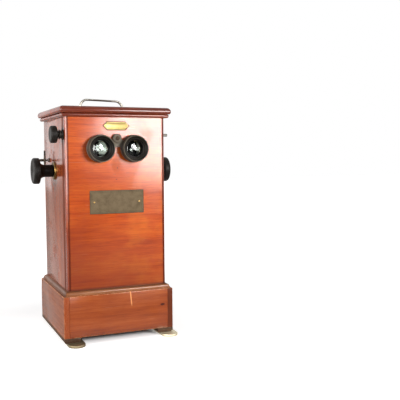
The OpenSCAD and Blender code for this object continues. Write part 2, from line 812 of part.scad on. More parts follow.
// The rod: a round bar with a toothed flat on its upper side
module focus_rod() {
    rod_end_y = bridge_y + rod_l;
    tooth_y0 = -3;
    tooth_y1 = 6;
    flat_y0 = focus_y + tooth_y0 * tooth_pitch - 2;
    flat_y1 = focus_y + tooth_y1 * tooth_pitch + 2;
    color("silver") difference() {
        union() {
            bar_y(0, bridge_y, rod_end_y, rod_z, rod_r);
            bar_y(0, bridge_front_y - 2, bridge_y + 0.5, rod_z, rod_r - 1.5);
        }
        translate([-rod_r - eps, 0, pitch_z]) rotate([90, 0, 90]) linear_extrude(2 * rod_r + 2 * eps)
            polygon(concat([[flat_y0, 8], [flat_y0, -dedendum]],
                [for (n = [tooth_y0 : tooth_y1]) for (p = rack_tooth(n)) [focus_y + p[0], p[1]]],
                [[flat_y1, -dedendum], [flat_y1, 8]]));
    }
}

// ---------- Focus shaft ----------

// The shaft, turned down at its bare right end
module focus_shaft() {
    color("silver") union() {
        bar_x(-side_x - focus_collar_l - seat_gap - focus_seat_l, side_x + 0.6, focus_y, focus_z, focus_shaft_r);
        bar_x(side_x + 0.5, side_x + focus_stub_l, focus_y, focus_z, focus_stub_r);
    }
}

// Outline of one pinion tooth, centred on angle a
function pinion_tooth(a) = let (
    half = 360 * tooth_fill / pinion_teeth / 2, root = pinion_r - dedendum, tip = pinion_r + addendum)
    [for (p = [[root, -half * 1.35], [pinion_r, -half], [tip, -half * 0.62], [tip, half * 0.62],
        [pinion_r, half], [root, half * 1.35]]) [p[0] * cos(a + p[1]), p[0] * sin(a + p[1])]];

module focus_pinion() {
    step = 360 / pinion_teeth;
    start = -90 + step / 2;
    color("goldenrod") translate([-pinion_w / 2, focus_y, focus_z]) rotate([90, 0, 90]) difference() {
        linear_extrude(pinion_w) polygon([for (n = [0 : pinion_teeth - 1]) for (p = pinion_tooth(start + n * step)) p]);
        translate([0, 0, -eps]) cylinder(h = pinion_w + 2 * eps, r = focus_shaft_r + set_gap);
    }
}

module focus_knob() {
    x = side_x + focus_collar_l + seat_gap;
    r = focus_knob_r;
    t = focus_knob_t;
    bore = focus_shaft_r + set_gap;
    neck = 6;
    gap = 3.2;
    color("dimgray") turned_x(-1, x, focus_y, focus_z, [
        [bore, 0], [neck, 0], [neck, gap - 1], [neck + 1.5, gap], [r - 2.6, gap], [r - 0.9, gap + 0.9], [r, gap + 2.8],
        [r, gap + t - 3], [r - 0.9, gap + t - 1.1], [r - 2.8, gap + t], [0, gap + t + 0.2],
        [0, focus_seat_l + 0.1], [bore, focus_seat_l + 0.1]]);
}

// ---------- Main shaft ----------

module main_shaft() {
    color("silver") bar_x(-knob_face_x + 6, knob_face_x - 6, 0, main_z, main_r);
}

// Moulded knob: a thick disc on a flared hub
module knob(side) {
    x = side_x + collar_t + seat_gap;
    bore = main_r + set_gap;
    flare = hub_l * 0.4;
    full = hub_l + knob_t;
    color("dimgray") turned_x(side, x, 0, main_z, concat(
        [[bore, 0], [hub_r - 0.6, 0], [hub_r, 0.6]],
        [for (i = [0 : 6]) [hub_r + (knob_r - 4 - hub_r) * (1 - cos(90 * i / 6)),
            hub_l - flare + (flare - 0.5) * sin(90 * i / 6)]],
        [[knob_r - 1.8, hub_l + 0.3], [knob_r - 0.4, hub_l + 1.6], [knob_r, hub_l + 3], [knob_r, full - 3.4],
         [knob_r - 0.8, full - 1.5], [knob_r - 3, full], [knob_r - 6, full], [knob_r - 8, full - 0.8],
         [0, full - 1.2], [0, full - 6], [bore, full - 6]]));
}

module knob_left() { knob(-1); }

module knob_right() { knob(1); }

// Two wheels with hubs that carry the bands
module chain_wheels() {
    w = band_w / 2;
    bore = main_r + set_gap;
    color("goldenrod") for (s = [-1, 1]) translate([s * wheel_x, 0, main_z]) rotate([0, s * 90, 0])
        rotate_extrude() polygon([[bore, -w - 6], [main_r + 4, -w - 6], [main_r + 4, -w], [wheel_r - 0.5, -w],
            [wheel_r, -w + 0.5], [wheel_r, w - 0.5], [wheel_r - 0.5, w], [bore, w]]);
}

// Notched wheel that the detent roller rides on
module star_wheel() {
    color("goldenrod") difference() {
        bar_x(-star_x - star_t / 2, -star_x + star_t / 2, 0, main_z, star_r);
        for (n = [0 : slides_per_turn - 1]) {
            a = arm_angle + n * 360 / slides_per_turn;
            r = star_r + star_notch_depth;
            bar_x(-star_x - star_t, -star_x + star_t, r * cos(a), main_z + r * sin(a), star_notch_r);
        }
        bar_x(-star_x - star_t, -star_x + star_t, 0, main_z, main_r + set_gap);
    }
}

// Lower axle with its two wheels, turned from one piece
module low_roller() {
    end = inner_x - 1;
    w = band_w / 2;
    color("goldenrod") translate([0, 0, low_z]) rotate([0, 90, 0]) rotate_extrude() polygon([
        [0, -end], [low_axle_r, -end], [low_axle_r, -wheel_x - w], [wheel_r, -wheel_x - w],
        [wheel_r, -wheel_x + w], [low_axle_r + 1, -wheel_x + w], [low_axle_r + 1, wheel_x - w],
        [wheel_r, wheel_x - w], [wheel_r, wheel_x + w], [low_axle_r, wheel_x + w], [low_axle_r, end], [0, end]]);
}

// ---------- Detent lever ----------

module detent_bush() {
    color("saddlebrown") turned_x(-1, inner_x, spindle_y, spindle_z, [
        [spindle_r + run_gap, 0], [spindle_r + 1, 0], [spindle_r + 1, side_t], [detent_bush_r, side_t],
        [detent_bush_r - 0.5, side_t + detent_bush_l - 1], [spindle_r + 1.2, side_t + detent_bush_l],
        [spindle_r + run_gap, side_t + detent_bush_l]]);
}

// Outline of the pointed blade, in (along Y, up)
function blade_points() = let (w = 2.6) concat(
    [[0, blade_up], [-w * 0.55, blade_up * 0.72], [-w, blade_up * 0.35], [-w - 1.2, 0], [-w, -blade_down * 0.5]],
    arc(0, -blade_down + w * 0.8, w * 0.8, 180, 360, 6),
    [[w, -blade_down * 0.5], [w + 1.2, 0], [w, blade_up * 0.35], [w * 0.55, blade_up * 0.72]]);

// Spindle through the wall, with its blade and end nut
module detent_spindle() {
    x_in = star_x - star_t / 2 - 0.5;
    color("dimgray") union() {
        bar_x(-spindle_out_x, -x_in, spindle_y, spindle_z, spindle_r);
        translate([-blade_x - blade_t, spindle_y, spindle_z]) rotate([90, 0, 90])
            linear_extrude(blade_t) polygon(blade_points());
        bar_x(-spindle_out_x + 1, -blade_x - blade_t + 0.2, spindle_y, spindle_z, spindle_r + 1);
    }
}

// Arm on the spindle, with a roller over the notched wheel
module detent_arm() {
    x0 = -star_x - star_t / 2 + 0.5;
    x1 = -star_x + star_t / 2 - 0.5;
    reach = sqrt(pow(spindle_y - roller_y, 2) + pow(spindle_z - roller_z, 2));
    slope = atan2(roller_z - spindle_z, roller_y - spindle_y);
    color("gray") difference() {
        union() {
            bar_x(x0, x1, spindle_y, spindle_z, 4.5);
            bar_x(x0, x1, roller_y, roller_z, roller_r);
            translate([x0 + 0.8, spindle_y, spindle_z]) rotate([slope, 0, 0]) translate([0, 0, -1.5])
                cube([x1 - x0 - 1.6, reach, 3]);
        }
        bar_x(x0 - eps, x1 + eps, spindle_y, spindle_z, spindle_r + set_gap);
    }
}

// ---------- Rear door ----------

module frame_hinge_leaves() {
    color("goldenrod") for (z = hinge_zs) union() {
        difference() {
            union() {
                board(hinge_x + 0.6, side_x - 0.6, back_y, back_y + hinge_leaf_t, z - hinge_h / 2, z + hinge_h / 2);
                for (s = [-1, 1]) translate([hinge_x, hinge_y, z + s * (hinge_seg + 0.3) - hinge_seg / 2])
                    cylinder(h = hinge_seg, r = knuckle_r);
            }
            board(hinge_x - 4, side_x, back_y - eps, back_y + 3 * knuckle_r, z - hinge_seg / 2 - 0.3,
                z + hinge_seg / 2 + 0.3);
        }
        translate([hinge_x, hinge_y, z - hinge_h / 2]) cylinder(h = hinge_h, r = hinge_pin_r);
        board(side_x - 4, side_x - 0.6, back_y, back_y + hinge_leaf_t, z - hinge_h / 2, z + hinge_h / 2);
    }
}

// The door with its window, its own hinge leaves and a small pull
module rear_door() {
    w = window_w / 2;
    h = window_h / 2;
    lap = glass_lap;
    color("peru") difference() {
        union() {
            board(-inner_x + door_gap, inner_x - door_gap, door_y, back_y, door_z0, door_z1);
            for (z = hinge_zs) {
                board(hinge_x - hinge_leaf_w, hinge_x - 1, back_y, back_y + hinge_leaf_t,
                    z - hinge_seg / 2, z + hinge_seg / 2);
                translate([hinge_x, hinge_y, z - hinge_seg / 2]) cylinder(h = hinge_seg, r = knuckle_r);
                board(hinge_x - 2, hinge_x - 0.5, back_y, hinge_y, z - hinge_seg / 2, z + hinge_seg / 2);
            }
            translate([-inner_x + pull_inset, back_y, pull_z]) rotate([-90, 0, 0]) rotate_extrude()
                polygon([[0, 0], [3, 0], [2.4, 4], [5.5, 7], [5.5, 9], [3, 11], [0, 11.4]]);
        }
        board(-w, w, door_y - eps, back_y + eps, window_z - h, window_z + h);
        board(-w - lap, w + lap, door_y - eps, door_y + window_glass_t + 0.8, window_z - h - lap, window_z + h + lap);
        for (z = hinge_zs) translate([hinge_x, hinge_y, z - hinge_h])
            cylinder(h = 2 * hinge_h, r = hinge_pin_r + run_gap);
    }
}

module window_glass() {
    w = window_w / 2 + glass_lap - 0.2;
    h = window_h / 2 + glass_lap - 0.2;
    color("white", 0.8) board(-w, w, door_y + 0.8, door_y + 0.8 + window_glass_t, window_z - h, window_z + h);
}

// Turn button on the rear edge of the left wall, hanging upright and clear of the door
module turn_button() {
    w = side_t * 0.4;
    half = 2 * w;
    lift = 0.4;
    t = 2;
    color("goldenrod") translate([-button_x, back_y, button_z]) rotate([-90, 0, 0]) union() {
        translate([0, 0, lift]) linear_extrude(t) polygon(concat(arc(0, half, w, 0, 180), arc(0, -half, w, 180, 360)));
        translate([0, 0, -button_pin_l]) cylinder(h = button_pin_l + 1, r = button_pin_r);
        translate([0, 0, lift + t]) cylinder(h = 0.8, r = button_pin_r + 1.1);
    }
}

front_panel();
left_side();
right_side();
floor_board();
back_lower_board();
back_top_rail();
lid_board();
lid_moulding();
plinth_front();
plinth_back();
plinth_left();
plinth_right();
plinth_moulding();
runner_left();
runner_right();
strap_left();
strap_right();
strap_screws();
handle();
handle_plates();
small_plate();
large_plate();
plate_pins();
collar_left();
collar_right();
focus_collar();
focus_bush();
sleeve_left();
sleeve_right();
rod_guide();
septum();
chain_bands();
slide_carriers();
glass_slides();
low_bearings();
detent_bush();
frame_hinge_leaves();
eyecup_left();
eyecup_right();
barrel_left();
barrel_right();
lenses();
lens_rings();
bridge();
focus_rod();
bridge_screw();
focus_shaft();
focus_pinion();
focus_knob();
main_shaft();
knob_left();
knob_right();
chain_wheels();
star_wheel();
low_roller();
detent_spindle();
detent_arm();
rear_door();
window_glass();
turn_button();
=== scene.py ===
# %% [markdown]
# # A tabletop stereo viewer
# The object is a polished wooden cabinet. A person looks into two eyepieces at the top of its front and
# turns a large knob on either side. An endless chain of glass slides then moves past the lenses, lit through
# a ground glass window in the rear door. The moving parts are already solid models; this lesson gives every
# surface its real shape and finish.

# %% The frame: the solid model that every piece is fitted to
import math

import bpy
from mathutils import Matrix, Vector


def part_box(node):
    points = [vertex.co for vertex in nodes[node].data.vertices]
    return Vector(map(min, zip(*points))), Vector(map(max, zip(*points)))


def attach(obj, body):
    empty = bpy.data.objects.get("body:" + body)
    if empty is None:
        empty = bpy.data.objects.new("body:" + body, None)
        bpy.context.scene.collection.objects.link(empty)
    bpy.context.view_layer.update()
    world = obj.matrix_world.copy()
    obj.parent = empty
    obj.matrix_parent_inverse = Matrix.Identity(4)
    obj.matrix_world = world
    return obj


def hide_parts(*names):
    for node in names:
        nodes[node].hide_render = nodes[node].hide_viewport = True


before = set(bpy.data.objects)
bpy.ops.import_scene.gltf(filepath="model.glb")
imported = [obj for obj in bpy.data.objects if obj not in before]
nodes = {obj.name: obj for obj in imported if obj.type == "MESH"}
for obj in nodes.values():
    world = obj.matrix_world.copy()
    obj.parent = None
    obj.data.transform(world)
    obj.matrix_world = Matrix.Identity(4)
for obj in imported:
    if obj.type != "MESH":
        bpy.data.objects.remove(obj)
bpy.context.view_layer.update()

# %% [markdown]
# Drawings of wooden boxes are dimensioned in millimetres, while Blender works in metres. All sizes below are
# written in millimetres and turned into metres by one factor. The solid model is also asked for its corners,
# so that a piece that stands for a node lands exactly on it.

# %% Millimetres, and the corners of a node
MM = 0.001


def corners(node):
    """Lowest and highest corner of a node of the solid model, in millimetres."""
    low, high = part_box(node)
    return [c / MM for c in low], [c / MM for c in high]


def metres(point):
    return Vector(point) * MM


def spans(low, high):
    """The sizes of a box between two corners, for the lines that are printed."""
    return [round(h - l, 1) for l, h in zip(low, high)]


wall_low, wall_high = corners("left_side")
panel_low, panel_high = corners("front_panel")
half_x, half_y = -wall_low[0], wall_high[1]
print("mm: front panel", spans(panel_low, panel_high), "side walls", spans(wall_low, wall_high))

# %% [markdown]
# An operator works on everything that is selected, and the solid model is selected after it is loaded. So
# every piece starts by deselecting all, and every edit first selects exactly the vertices, edges or faces
# that it is meant for. They are picked by a test on where they are, as a maker would point at an edge. Many
# pieces below grow from a flat outline that is extruded in steps, so the three moves of that work are
# written here once.

# %% Selecting, and going in and out of edit mode
def only(piece):
    """Makes one object the only one selected, and the active one."""
    bpy.ops.object.select_all(action="DESELECT")
    piece.select_set(True)
    bpy.context.view_layer.objects.active = piece


def edit(piece, kind, test):
    """Opens edit mode with the wanted edges or faces selected.

    The test gets the two ends of an edge, or the middle and the normal of a face."""
    only(piece)
    bpy.ops.object.mode_set(mode="EDIT")
    bpy.ops.mesh.select_mode(type=kind)
    bpy.ops.mesh.select_all(action="DESELECT")
    bpy.ops.object.mode_set(mode="OBJECT")
    mesh = piece.data
    if kind == "EDGE":
        for edge in mesh.edges:
            edge.select = bool(test(*[mesh.vertices[i].co / MM for i in edge.vertices]))
    else:
        for face in mesh.polygons:
            face.select = bool(test(face.center / MM, face.normal))
    bpy.ops.object.mode_set(mode="EDIT")


def leave():
    bpy.ops.object.mode_set(mode="OBJECT")


def settle(piece):
    """Puts the object's place, turn and size into its mesh."""
    only(piece)
    bpy.ops.object.transform_apply(location=True, rotation=True, scale=True)
    return piece


def start(name, add, **settings):
    """Adds a primitive with nothing else selected, and names it."""
    bpy.ops.object.select_all(action="DESELECT")
    add(**settings)
    piece = bpy.context.object
    piece.name = piece.data.name = name
    return piece


def open_outline(piece):
    """Opens edit mode with the whole of a flat outline selected, ready to be extruded."""
    settle(piece)
    bpy.ops.object.mode_set(mode="EDIT")
    bpy.ops.mesh.select_mode(type="EDGE")
    bpy.ops.mesh.select_all(action="SELECT")


def rise_to(step, wider, deeper, height):
    """Extrudes an outline upwards by a step, in mm, and stretches it there in x and y."""
    bpy.ops.mesh.extrude_region_move(TRANSFORM_OT_translate={"value": (0, 0, step * MM)})
    bpy.ops.transform.resize(value=(wider, deeper, 1), center_override=(0, 0, height * MM))


def close_up():
    """Welds rings that meet, closes open ends, points all faces outwards, and leaves edit mode."""
    bpy.ops.mesh.select_all(action="SELECT")
    bpy.ops.mesh.remove_doubles(threshold=0.001 * MM)
    bpy.ops.mesh.fill_holes(sides=0)
    bpy.ops.mesh.select_all(action="SELECT")
    bpy.ops.mesh.normals_make_consistent(inside=False)
    leave()


def smooth(piece, degrees=30):
    only(piece)
    bpy.ops.object.shade_smooth_by_angle(angle=math.radians(degrees))
    return piece


def apply_modifier(piece, kind, **settings):
    only(piece)
    bpy.ops.object.modifier_add(type=kind)
    modifier = piece.modifiers[-1]
    for name, value in settings.items():
        setattr(modifier, name, value)
    bpy.ops.object.modifier_apply(modifier=modifier.name)
    return piece


def ease(piece, width=0.5, segments=2, degrees=35):
    """Takes the sharpness off all edges that turn by more than the given angle."""
    apply_modifier(piece, "BEVEL", width=width * MM, segments=segments, limit_method="ANGLE",
                   angle_limit=math.radians(degrees), harden_normals=False)
    return smooth(piece)


# %% [markdown]
# A board is a block with its edges broken, because no cabinet maker leaves an edge that cuts. The block
# starts from the cube primitive at the board's own size, and the bevel operator rounds the edges that are
# picked.

# %% Boards
def block(name, low, high):
    middle = [(l + h) / 2 for l, h in zip(low, high)]
    piece = start(name, bpy.ops.mesh.primitive_cube_add, size=1, location=metres(middle))
    piece.scale = metres([h - l for l, h in zip(low, high)])
    return settle(piece)


def round_edges(piece, width, segments, test=lambda a, b: True):
    edit(piece, "EDGE", test)
    bpy.ops.mesh.bevel(offset=width * MM, segments=segments, affect="EDGES", clamp_overlap=True)
    leave()
    return piece


def board(name, low, high, edge=0.8):
    return smooth(round_edges(block(name, low, high), edge, 3))


# %% [markdown]
# Knobs, collars, eyecups and bushes come off a lathe, or out of a mould that was cut on one. Their shape is
# a profile: a list of radii and of distances along the axis. A circle is extruded from station to station,
# widened or narrowed at each one, which leaves the clean rings that a turned piece has. Where the profile
# ends on the axis the last ring is merged into one point, and where it comes back to its start the two rings
# are joined.

# %% Turned pieces
TURN = {"+z": (0, 0, 0), "-y": (math.pi / 2, 0, 0), "+y": (-math.pi / 2, 0, 0),
        "+x": (0, math.pi / 2, 0), "-x": (0, -math.pi / 2, 0)}


def turned(name, profile, at, facing, sides=72):
    """A turned piece: profile in (radius, distance), both in mm, along the direction that it faces from at."""
    radius, along = profile[0]
    piece = start(name, bpy.ops.mesh.primitive_circle_add, vertices=sides, radius=radius * MM,
                  location=(0, 0, along * MM))
    open_outline(piece)
    for new_radius, new_along in profile[1:]:
        wider = new_radius / radius or 1
        rise_to(new_along - along, wider, wider, new_along)
        if new_radius == 0:
            bpy.ops.mesh.merge(type="CENTER")
            break
        radius, along = new_radius, new_along
    close_up()
    piece.rotation_euler = TURN[facing]
    piece.location = metres(at)
    return smooth(settle(piece))


def arc(cx, cy, radius, start, end, steps=6):
    """Points of a round part of a profile, from angle start to end in degrees."""
    angles = [math.radians(start + (end - start) * i / steps) for i in range(steps + 1)]
    return [(cx + radius * math.cos(a), cy + radius * math.sin(a)) for a in angles]


# %% [markdown]
# Holes are bored and slots are sawn: a cutter with the shape of the tool is taken away from the piece with a
# Boolean. Two pieces that were brazed or moulded as one are joined in the same way.

# %% Cutting and joining
def combine(piece, other, operation):
    apply_modifier(piece, "BOOLEAN", object=other, operation=operation, solver="EXACT")
    bpy.data.objects.remove(other)
    return piece


def bore(piece, at, facing, radius, depth, sides=64):
    return combine(piece, turned("cutter", [(radius, 0), (radius, depth)], at, facing, sides), "DIFFERENCE")


# %% [markdown]
# A moulding is a strip with a shaped section that runs round the box and is mitred at the corners. It is
# drawn here as one frame: the outline of the walls is extruded from station to station of the section, and
# stretched by the same distance on all four sides, so that the mitres come out at 45 degrees by themselves.

# %% Mouldings round the cabinet
def climb(wide, deep, z, profile):
    """Extrudes an outline from station to station, each a distance out from its half sizes and a height over z."""
    out, up = profile[0]
    for new_out, new_up in profile[1:]:
        rise_to(new_up - up, (wide + new_out) / (wide + out), (deep + new_out) / (deep + out), z + new_up)
        out, up = new_out, new_up


def moulding(name, z, profile):
    """A mitred frame round the walls: profile in (distance out from the walls, height above z)."""
    out, up = profile[0]
    piece = start(name, bpy.ops.mesh.primitive_plane_add, size=2, location=(0, 0, (z + up) * MM))
    piece.scale = ((half_x + out) * MM, (half_y + out) * MM, 1)
    open_outline(piece)
    bpy.ops.mesh.delete(type="ONLY_FACE")
    bpy.ops.mesh.select_all(action="SELECT")
    climb(half_x, half_y, z, profile + profile[:1])
    close_up()
    return smooth(piece, 28)


# %% [markdown]
# ## The walls
# The front is one wide board with its grain lying across, 8 mm thick, and its two upright edges are rounded
# over. The side walls stand behind it with their grain upright, so a fine dark joint runs up each side just
# behind the rounded edge. The panel is bored for the two eyepiece sleeves and the focus rod.

# %% Front panel and side walls
EYE_X, EYE_Z, BOSS_Z = 31.5, 352.0, 370.6
MAIN_Z = 311.2
FOCUS_Y, FOCUS_Z = -78.0, 377.4
LEVER_Y, LEVER_Z = 45.0, 331.0
BUTTON_X, BUTTON_Z = -88.5, 240.95
WALL, DRILL = 10, 12
front_face = panel_low[1]
front_board = block("front_board", panel_low, panel_high)
round_edges(front_board, 5, 8, lambda a, b: abs(a.z - b.z) > 100 and a.y < front_face + 1)
round_edges(front_board, 0.4, 2, lambda a, b: abs(a.z - b.z) > 100 and a.y > panel_high[1] - 1)
for x, z, radius in ((-EYE_X, EYE_Z, 20.9), (EYE_X, EYE_Z, 20.9), (0, BOSS_Z, 5)):
    bore(front_board, (x, front_face - 1, z), "+y", radius, DRILL)
smooth(front_board)

left_wall = board("left_wall", *corners("left_side"), edge=0.6)
right_wall = board("right_wall", *corners("right_side"), edge=0.6)
for wall, x in ((left_wall, -half_x - 1), (right_wall, half_x - WALL - 1)):
    bore(wall, (x, 0, MAIN_Z), "+x", 9.1, DRILL)
    bore(wall, (x, FOCUS_Y, FOCUS_Z), "+x", 5.1, DRILL)
bore(left_wall, (-half_x - 1, LEVER_Y, LEVER_Z), "+x", 2.6, DRILL)
bore(left_wall, (BUTTON_X, half_y + 1, BUTTON_Z), "-y", 1.65, 10)
smooth(left_wall)
smooth(right_wall)
print("front and side walls:", len(front_board.data.polygons), "faces in the front")

# %% [markdown]
# The lid board overhangs on all sides. Its upper edge is rounded far back, comes out to a nose, and turns
# under again, and its corners are blunted. So the outline of its underside is drawn first, with its four
# points beveled, and then extruded upwards in small steps, each one a little wider or narrower. A small bead
# runs below it.

# %% Lid and its bead
lid_low, lid_high = corners("lid_board")
lid_x, lid_y, lid_t = lid_high[0], lid_high[1], lid_high[2] - lid_low[2]
NOSE, UNDER, BACK = 0.4 * lid_t, 2.4, 6.4
lid_steps = [(UNDER * (math.sin(math.radians(a)) - 1), NOSE * (1 - math.cos(math.radians(a))))
             for a in (0, 8, 30, 50, 70, 90)]
lid_steps += [(BACK * (math.cos(math.radians(a)) - 1), NOSE + (lid_t - NOSE) * math.sin(math.radians(a)))
              for a in (15, 30, 45, 60, 72, 82, 90)]
lid_top = start("lid_top", bpy.ops.mesh.primitive_plane_add, size=2, location=(0, 0, lid_low[2] * MM))
lid_top.scale = ((lid_x - UNDER) * MM, (lid_y - UNDER) * MM, 1)
open_outline(lid_top)
bpy.ops.mesh.bevel(offset=3.2 * MM, segments=5, affect="VERTICES")
bpy.ops.mesh.select_all(action="SELECT")
climb(lid_x, lid_y, lid_low[2], lid_steps)
close_up()
smooth(lid_top)

bead_low, bead_high = corners("lid_moulding")
bead_r = (bead_high[2] - bead_low[2]) / 2
bead_out = bead_high[0] - half_x
bead_start = [(0, 0.05), (bead_out - bead_r - 0.6, 0.05), (bead_out - bead_r, 0.7)]
bead_round = arc(bead_out - bead_r, bead_r, bead_r - 0.05, -70, 90, 8)
moulding("lid_bead", bead_low[2], bead_start + bead_round + [(0, 2 * bead_r - 0.05)])
print("lid, mm:", spans(lid_low, lid_high))

# %% [markdown]
# ## The plinth
# Four boards round the foot of the box hide the lower end of the slide chain. The side boards run through to
# the front, so their end grain shows as a narrow upright strip at each corner. A quarter-round moulding on a
# small step closes the joint to the walls. Below, two runners and two metal straps keep the wood off the
# table.

# %% Plinth boards, moulding and runners
for node in ("plinth_front", "plinth_back", "plinth_left", "plinth_right"):
    board(node + "_board", *corners(node), edge=0.9)
step_low, step_high = corners("plinth_moulding")
step_out, step_up = step_high[0] - half_x, step_high[2] - step_low[2]
round_r = step_out - 1.5
step_start = [(0, 0.05), (step_out - 0.3, 0.05), (step_out, 0.4), (step_out, 1.9), (step_out - 0.3, 2.2),
              (step_out - 0.9, 2.3)]
quarter_round = arc(step_out - 0.9 - round_r, 2.9, round_r, 0, 82, 8)
moulding("foot_moulding", step_low[2], step_start + quarter_round + [(0.9, step_up - 0.2), (0, step_up)])
for node in ("runner_left", "runner_right"):
    low, high = corners(node)
    upper = block(node + "_batten", (low[0], low[1], low[2] + 3), high)
    lower = block("lower", (low[0] + 2, low[1] + 2, low[2]), (high[0] - 2, high[1] - 2, low[2] + 4))
    ease(combine(upper, lower, "UNION"), 0.6)
print("plinth moulding stands out", round(step_out, 1), "mm")

# %% [markdown]
# The foot straps are flat bars of dull brass with half-round ends. The ends are made by beveling the four
# upright edges by half the width, and the upper rim is then broken.

# %% Foot straps
for node in ("strap_left", "strap_right"):
    low, high = corners(node)
    strap = block(node.replace("strap", "foot_strap"), low, high)
    round_edges(strap, (high[0] - low[0]) / 2 - 0.02, 16, lambda a, b: abs(a.z - b.z) > 2)
    ease(strap, 0.7, 3, 50)
    for y in (-90, 0, 90):
        bore(strap, ((low[0] + high[0]) / 2, y, low[2] - 1), "+z", 4.5, 2.6, 32)
    smooth(strap)
print("foot strap, mm:", spans(low, high))

# %% [markdown]
# ## Handle
# The carrying handle is a bent strip of nickelled metal. Its two thin legs rise from round plates, and the
# strip widens and flattens into a gently sloping grip. It is swept by hand: an oval ring is extruded along
# the bow, and at every station it is turned square to the path and given the width of the grip there.

# %% The bent handle
HANDLE_SPAN, HANDLE_RISE, HANDLE_DROP = 85.0, 20.0, 2.4
BEND, WIDENS = 14, 26
lid_z = lid_high[2]


def bow_height(x):
    """Height of the bow over the lid. It rises within the bend at each leg, and the grip slopes down a little."""
    t = min(1, (HANDLE_SPAN / 2 - abs(x)) / BEND)
    return 2 + (HANDLE_RISE - 2 - HANDLE_DROP * (0.5 + x / HANDLE_SPAN)) * math.sqrt(max(0, 1 - (1 - t) ** 2))


def ease_in(t):
    t = min(1, max(0, t))
    return t * t * (3 - 2 * t)


along_bow = [HANDLE_SPAN / 2 * math.sin(math.radians(a)) for a in range(-90, 91, 4)]
path = [(-HANDLE_SPAN / 2, 0.4)] + [(x, bow_height(x)) for x in along_bow] + [(HANDLE_SPAN / 2, 0.4)]
sections = []
for i, (x, z) in enumerate(path):
    (x0, z0), (x1, z1) = path[max(0, i - 1)], path[min(len(path) - 1, i + 1)]
    tilt = math.atan2(x1 - x0, z1 - z0)
    flat = ease_in((HANDLE_SPAN / 2 - abs(x)) / WIDENS)
    sections.append((x, z, tilt, 2.2 - 0.35 * flat, 2.5 + 3.0 * flat))

handle_bow = start("handle_bow", bpy.ops.mesh.primitive_circle_add, vertices=20, radius=1)
x, z, _, thick, wide = sections[0]
handle_bow.scale = (thick * MM, wide * MM, 1)
handle_bow.location = metres((x, 0, lid_z + z))
open_outline(handle_bow)
turned_by = 0.0
for nx, nz, new_tilt, new_thick, new_wide in sections[1:]:
    bpy.ops.mesh.extrude_region_move(TRANSFORM_OT_translate={"value": ((nx - x) * MM, 0, (nz - z) * MM)})
    middle = metres((nx, 0, lid_z + nz))
    bpy.ops.transform.rotate(value=turned_by, orient_axis="Y", center_override=middle)
    bpy.ops.transform.resize(value=(new_thick / thick, new_wide / wide, 1), center_override=middle)
    bpy.ops.transform.rotate(value=-new_tilt, orient_axis="Y", center_override=middle)
    x, z, turned_by, thick, wide = nx, nz, new_tilt, new_thick, new_wide
close_up()
smooth(handle_bow, 50)
print("handle box, mm:", [round(d / MM, 1) for d in handle_bow.dimensions])

# %% [markdown]
# The legs stand on two thin domed plates. Both come from one profile, and they are joined into one piece,
# because they are one part of the solid model. The lenses and their rings are made in pairs in the same way.

# %% Round plates under its legs
def joined(name, parts):
    """Makes one piece of several that are fixed to each other."""
    only(parts[0])
    for part in parts[1:]:
        part.select_set(True)
    bpy.ops.object.join()
    parts[0].name = parts[0].data.name = name
    return parts[0]


def pair(name, profile, out, place, facing, sides=96):
    """One piece made of two equal turned pieces, at the same distance out to the left and to the right."""
    return joined(name, [turned("half", profile, (x, *place), facing, sides) for x in (-out, out)])


foot_profile = [(6.9, 0), (6.9, 0.35), (6.5, 0.75), (5.2, 1.0), (3.4, 1.15), (0, 1.2)]
pair("handle_feet", foot_profile, HANDLE_SPAN / 2, (0, lid_z), "+z", 48)
print("handle rises", HANDLE_RISE, "mm over the lid")

# %% [markdown]
# ## Plates
# Two brass plates are pinned to the front: a small bright one with pointed ends over the eyepieces, and a
# large dull one under them. Both are bare here. The small one starts as a block and its four corners are cut
# off with wide bevels. Both get a raised rim, made by insetting the face and pushing its middle back a
# little.

# %% The two plates and their pins
small_low, small_high = corners("small_plate")
large_low, large_high = corners("large_plate")
small_half_w, small_half_h = (small_high[0] - small_low[0]) / 2, (small_high[2] - small_low[2]) / 2
large_half_w, large_half_h = (large_high[0] - large_low[0]) / 2, (large_high[2] - large_low[2]) / 2
small_z, large_z = small_low[2] + small_half_h, large_low[2] + large_half_h


def corner_edge(a, b):
    return abs(a.y - b.y) > 0.5


def sunk_face(plate, border, depth):
    """Sinks the middle of a plate's front face, and leaves a rim of the given width."""
    edit(plate, "FACE", lambda middle, normal: normal.y < -0.9)
    bpy.ops.mesh.inset(thickness=border * MM, depth=0)
    bpy.ops.mesh.inset(thickness=0.25 * MM, depth=-depth * MM)
    leave()


small_plate_bright = block("small_plate_bright", small_low, small_high)
round_edges(small_plate_bright, small_half_h - 0.05, 1, corner_edge)
edit(small_plate_bright, "FACE", lambda middle, normal: True)
bpy.ops.mesh.remove_doubles(threshold=0.15 * MM)
leave()
sunk_face(small_plate_bright, 1.0, 0.12)
ease(small_plate_bright, 0.15, 2, 50)
large_plate_dull = block("large_plate_dull", large_low, large_high)
sunk_face(large_plate_dull, 1.5, 0.15)
round_edges(large_plate_dull, 0.8, 3, corner_edge)
ease(large_plate_dull, 0.18, 2, 50)

pins = []
for x, z, r in ((-19.1, small_z, 1.2), (19.1, small_z, 1.2), (-42.6, large_z, 1.55), (42.6, large_z, 1.55)):
    dome = [(r * 0.7, -1.0), (r * 0.7, 0), (r, 0.05), (r * 0.96, 0.3), (r * 0.7, 0.55), (r * 0.35, 0.68),
            (0, 0.72)]
    pins.append(turned("pin", dome, (x, small_low[1], z), "-y", 24))
joined("pin_heads", pins)
print("plates, mm:", spans(small_low, small_high), spans(large_low, large_high))

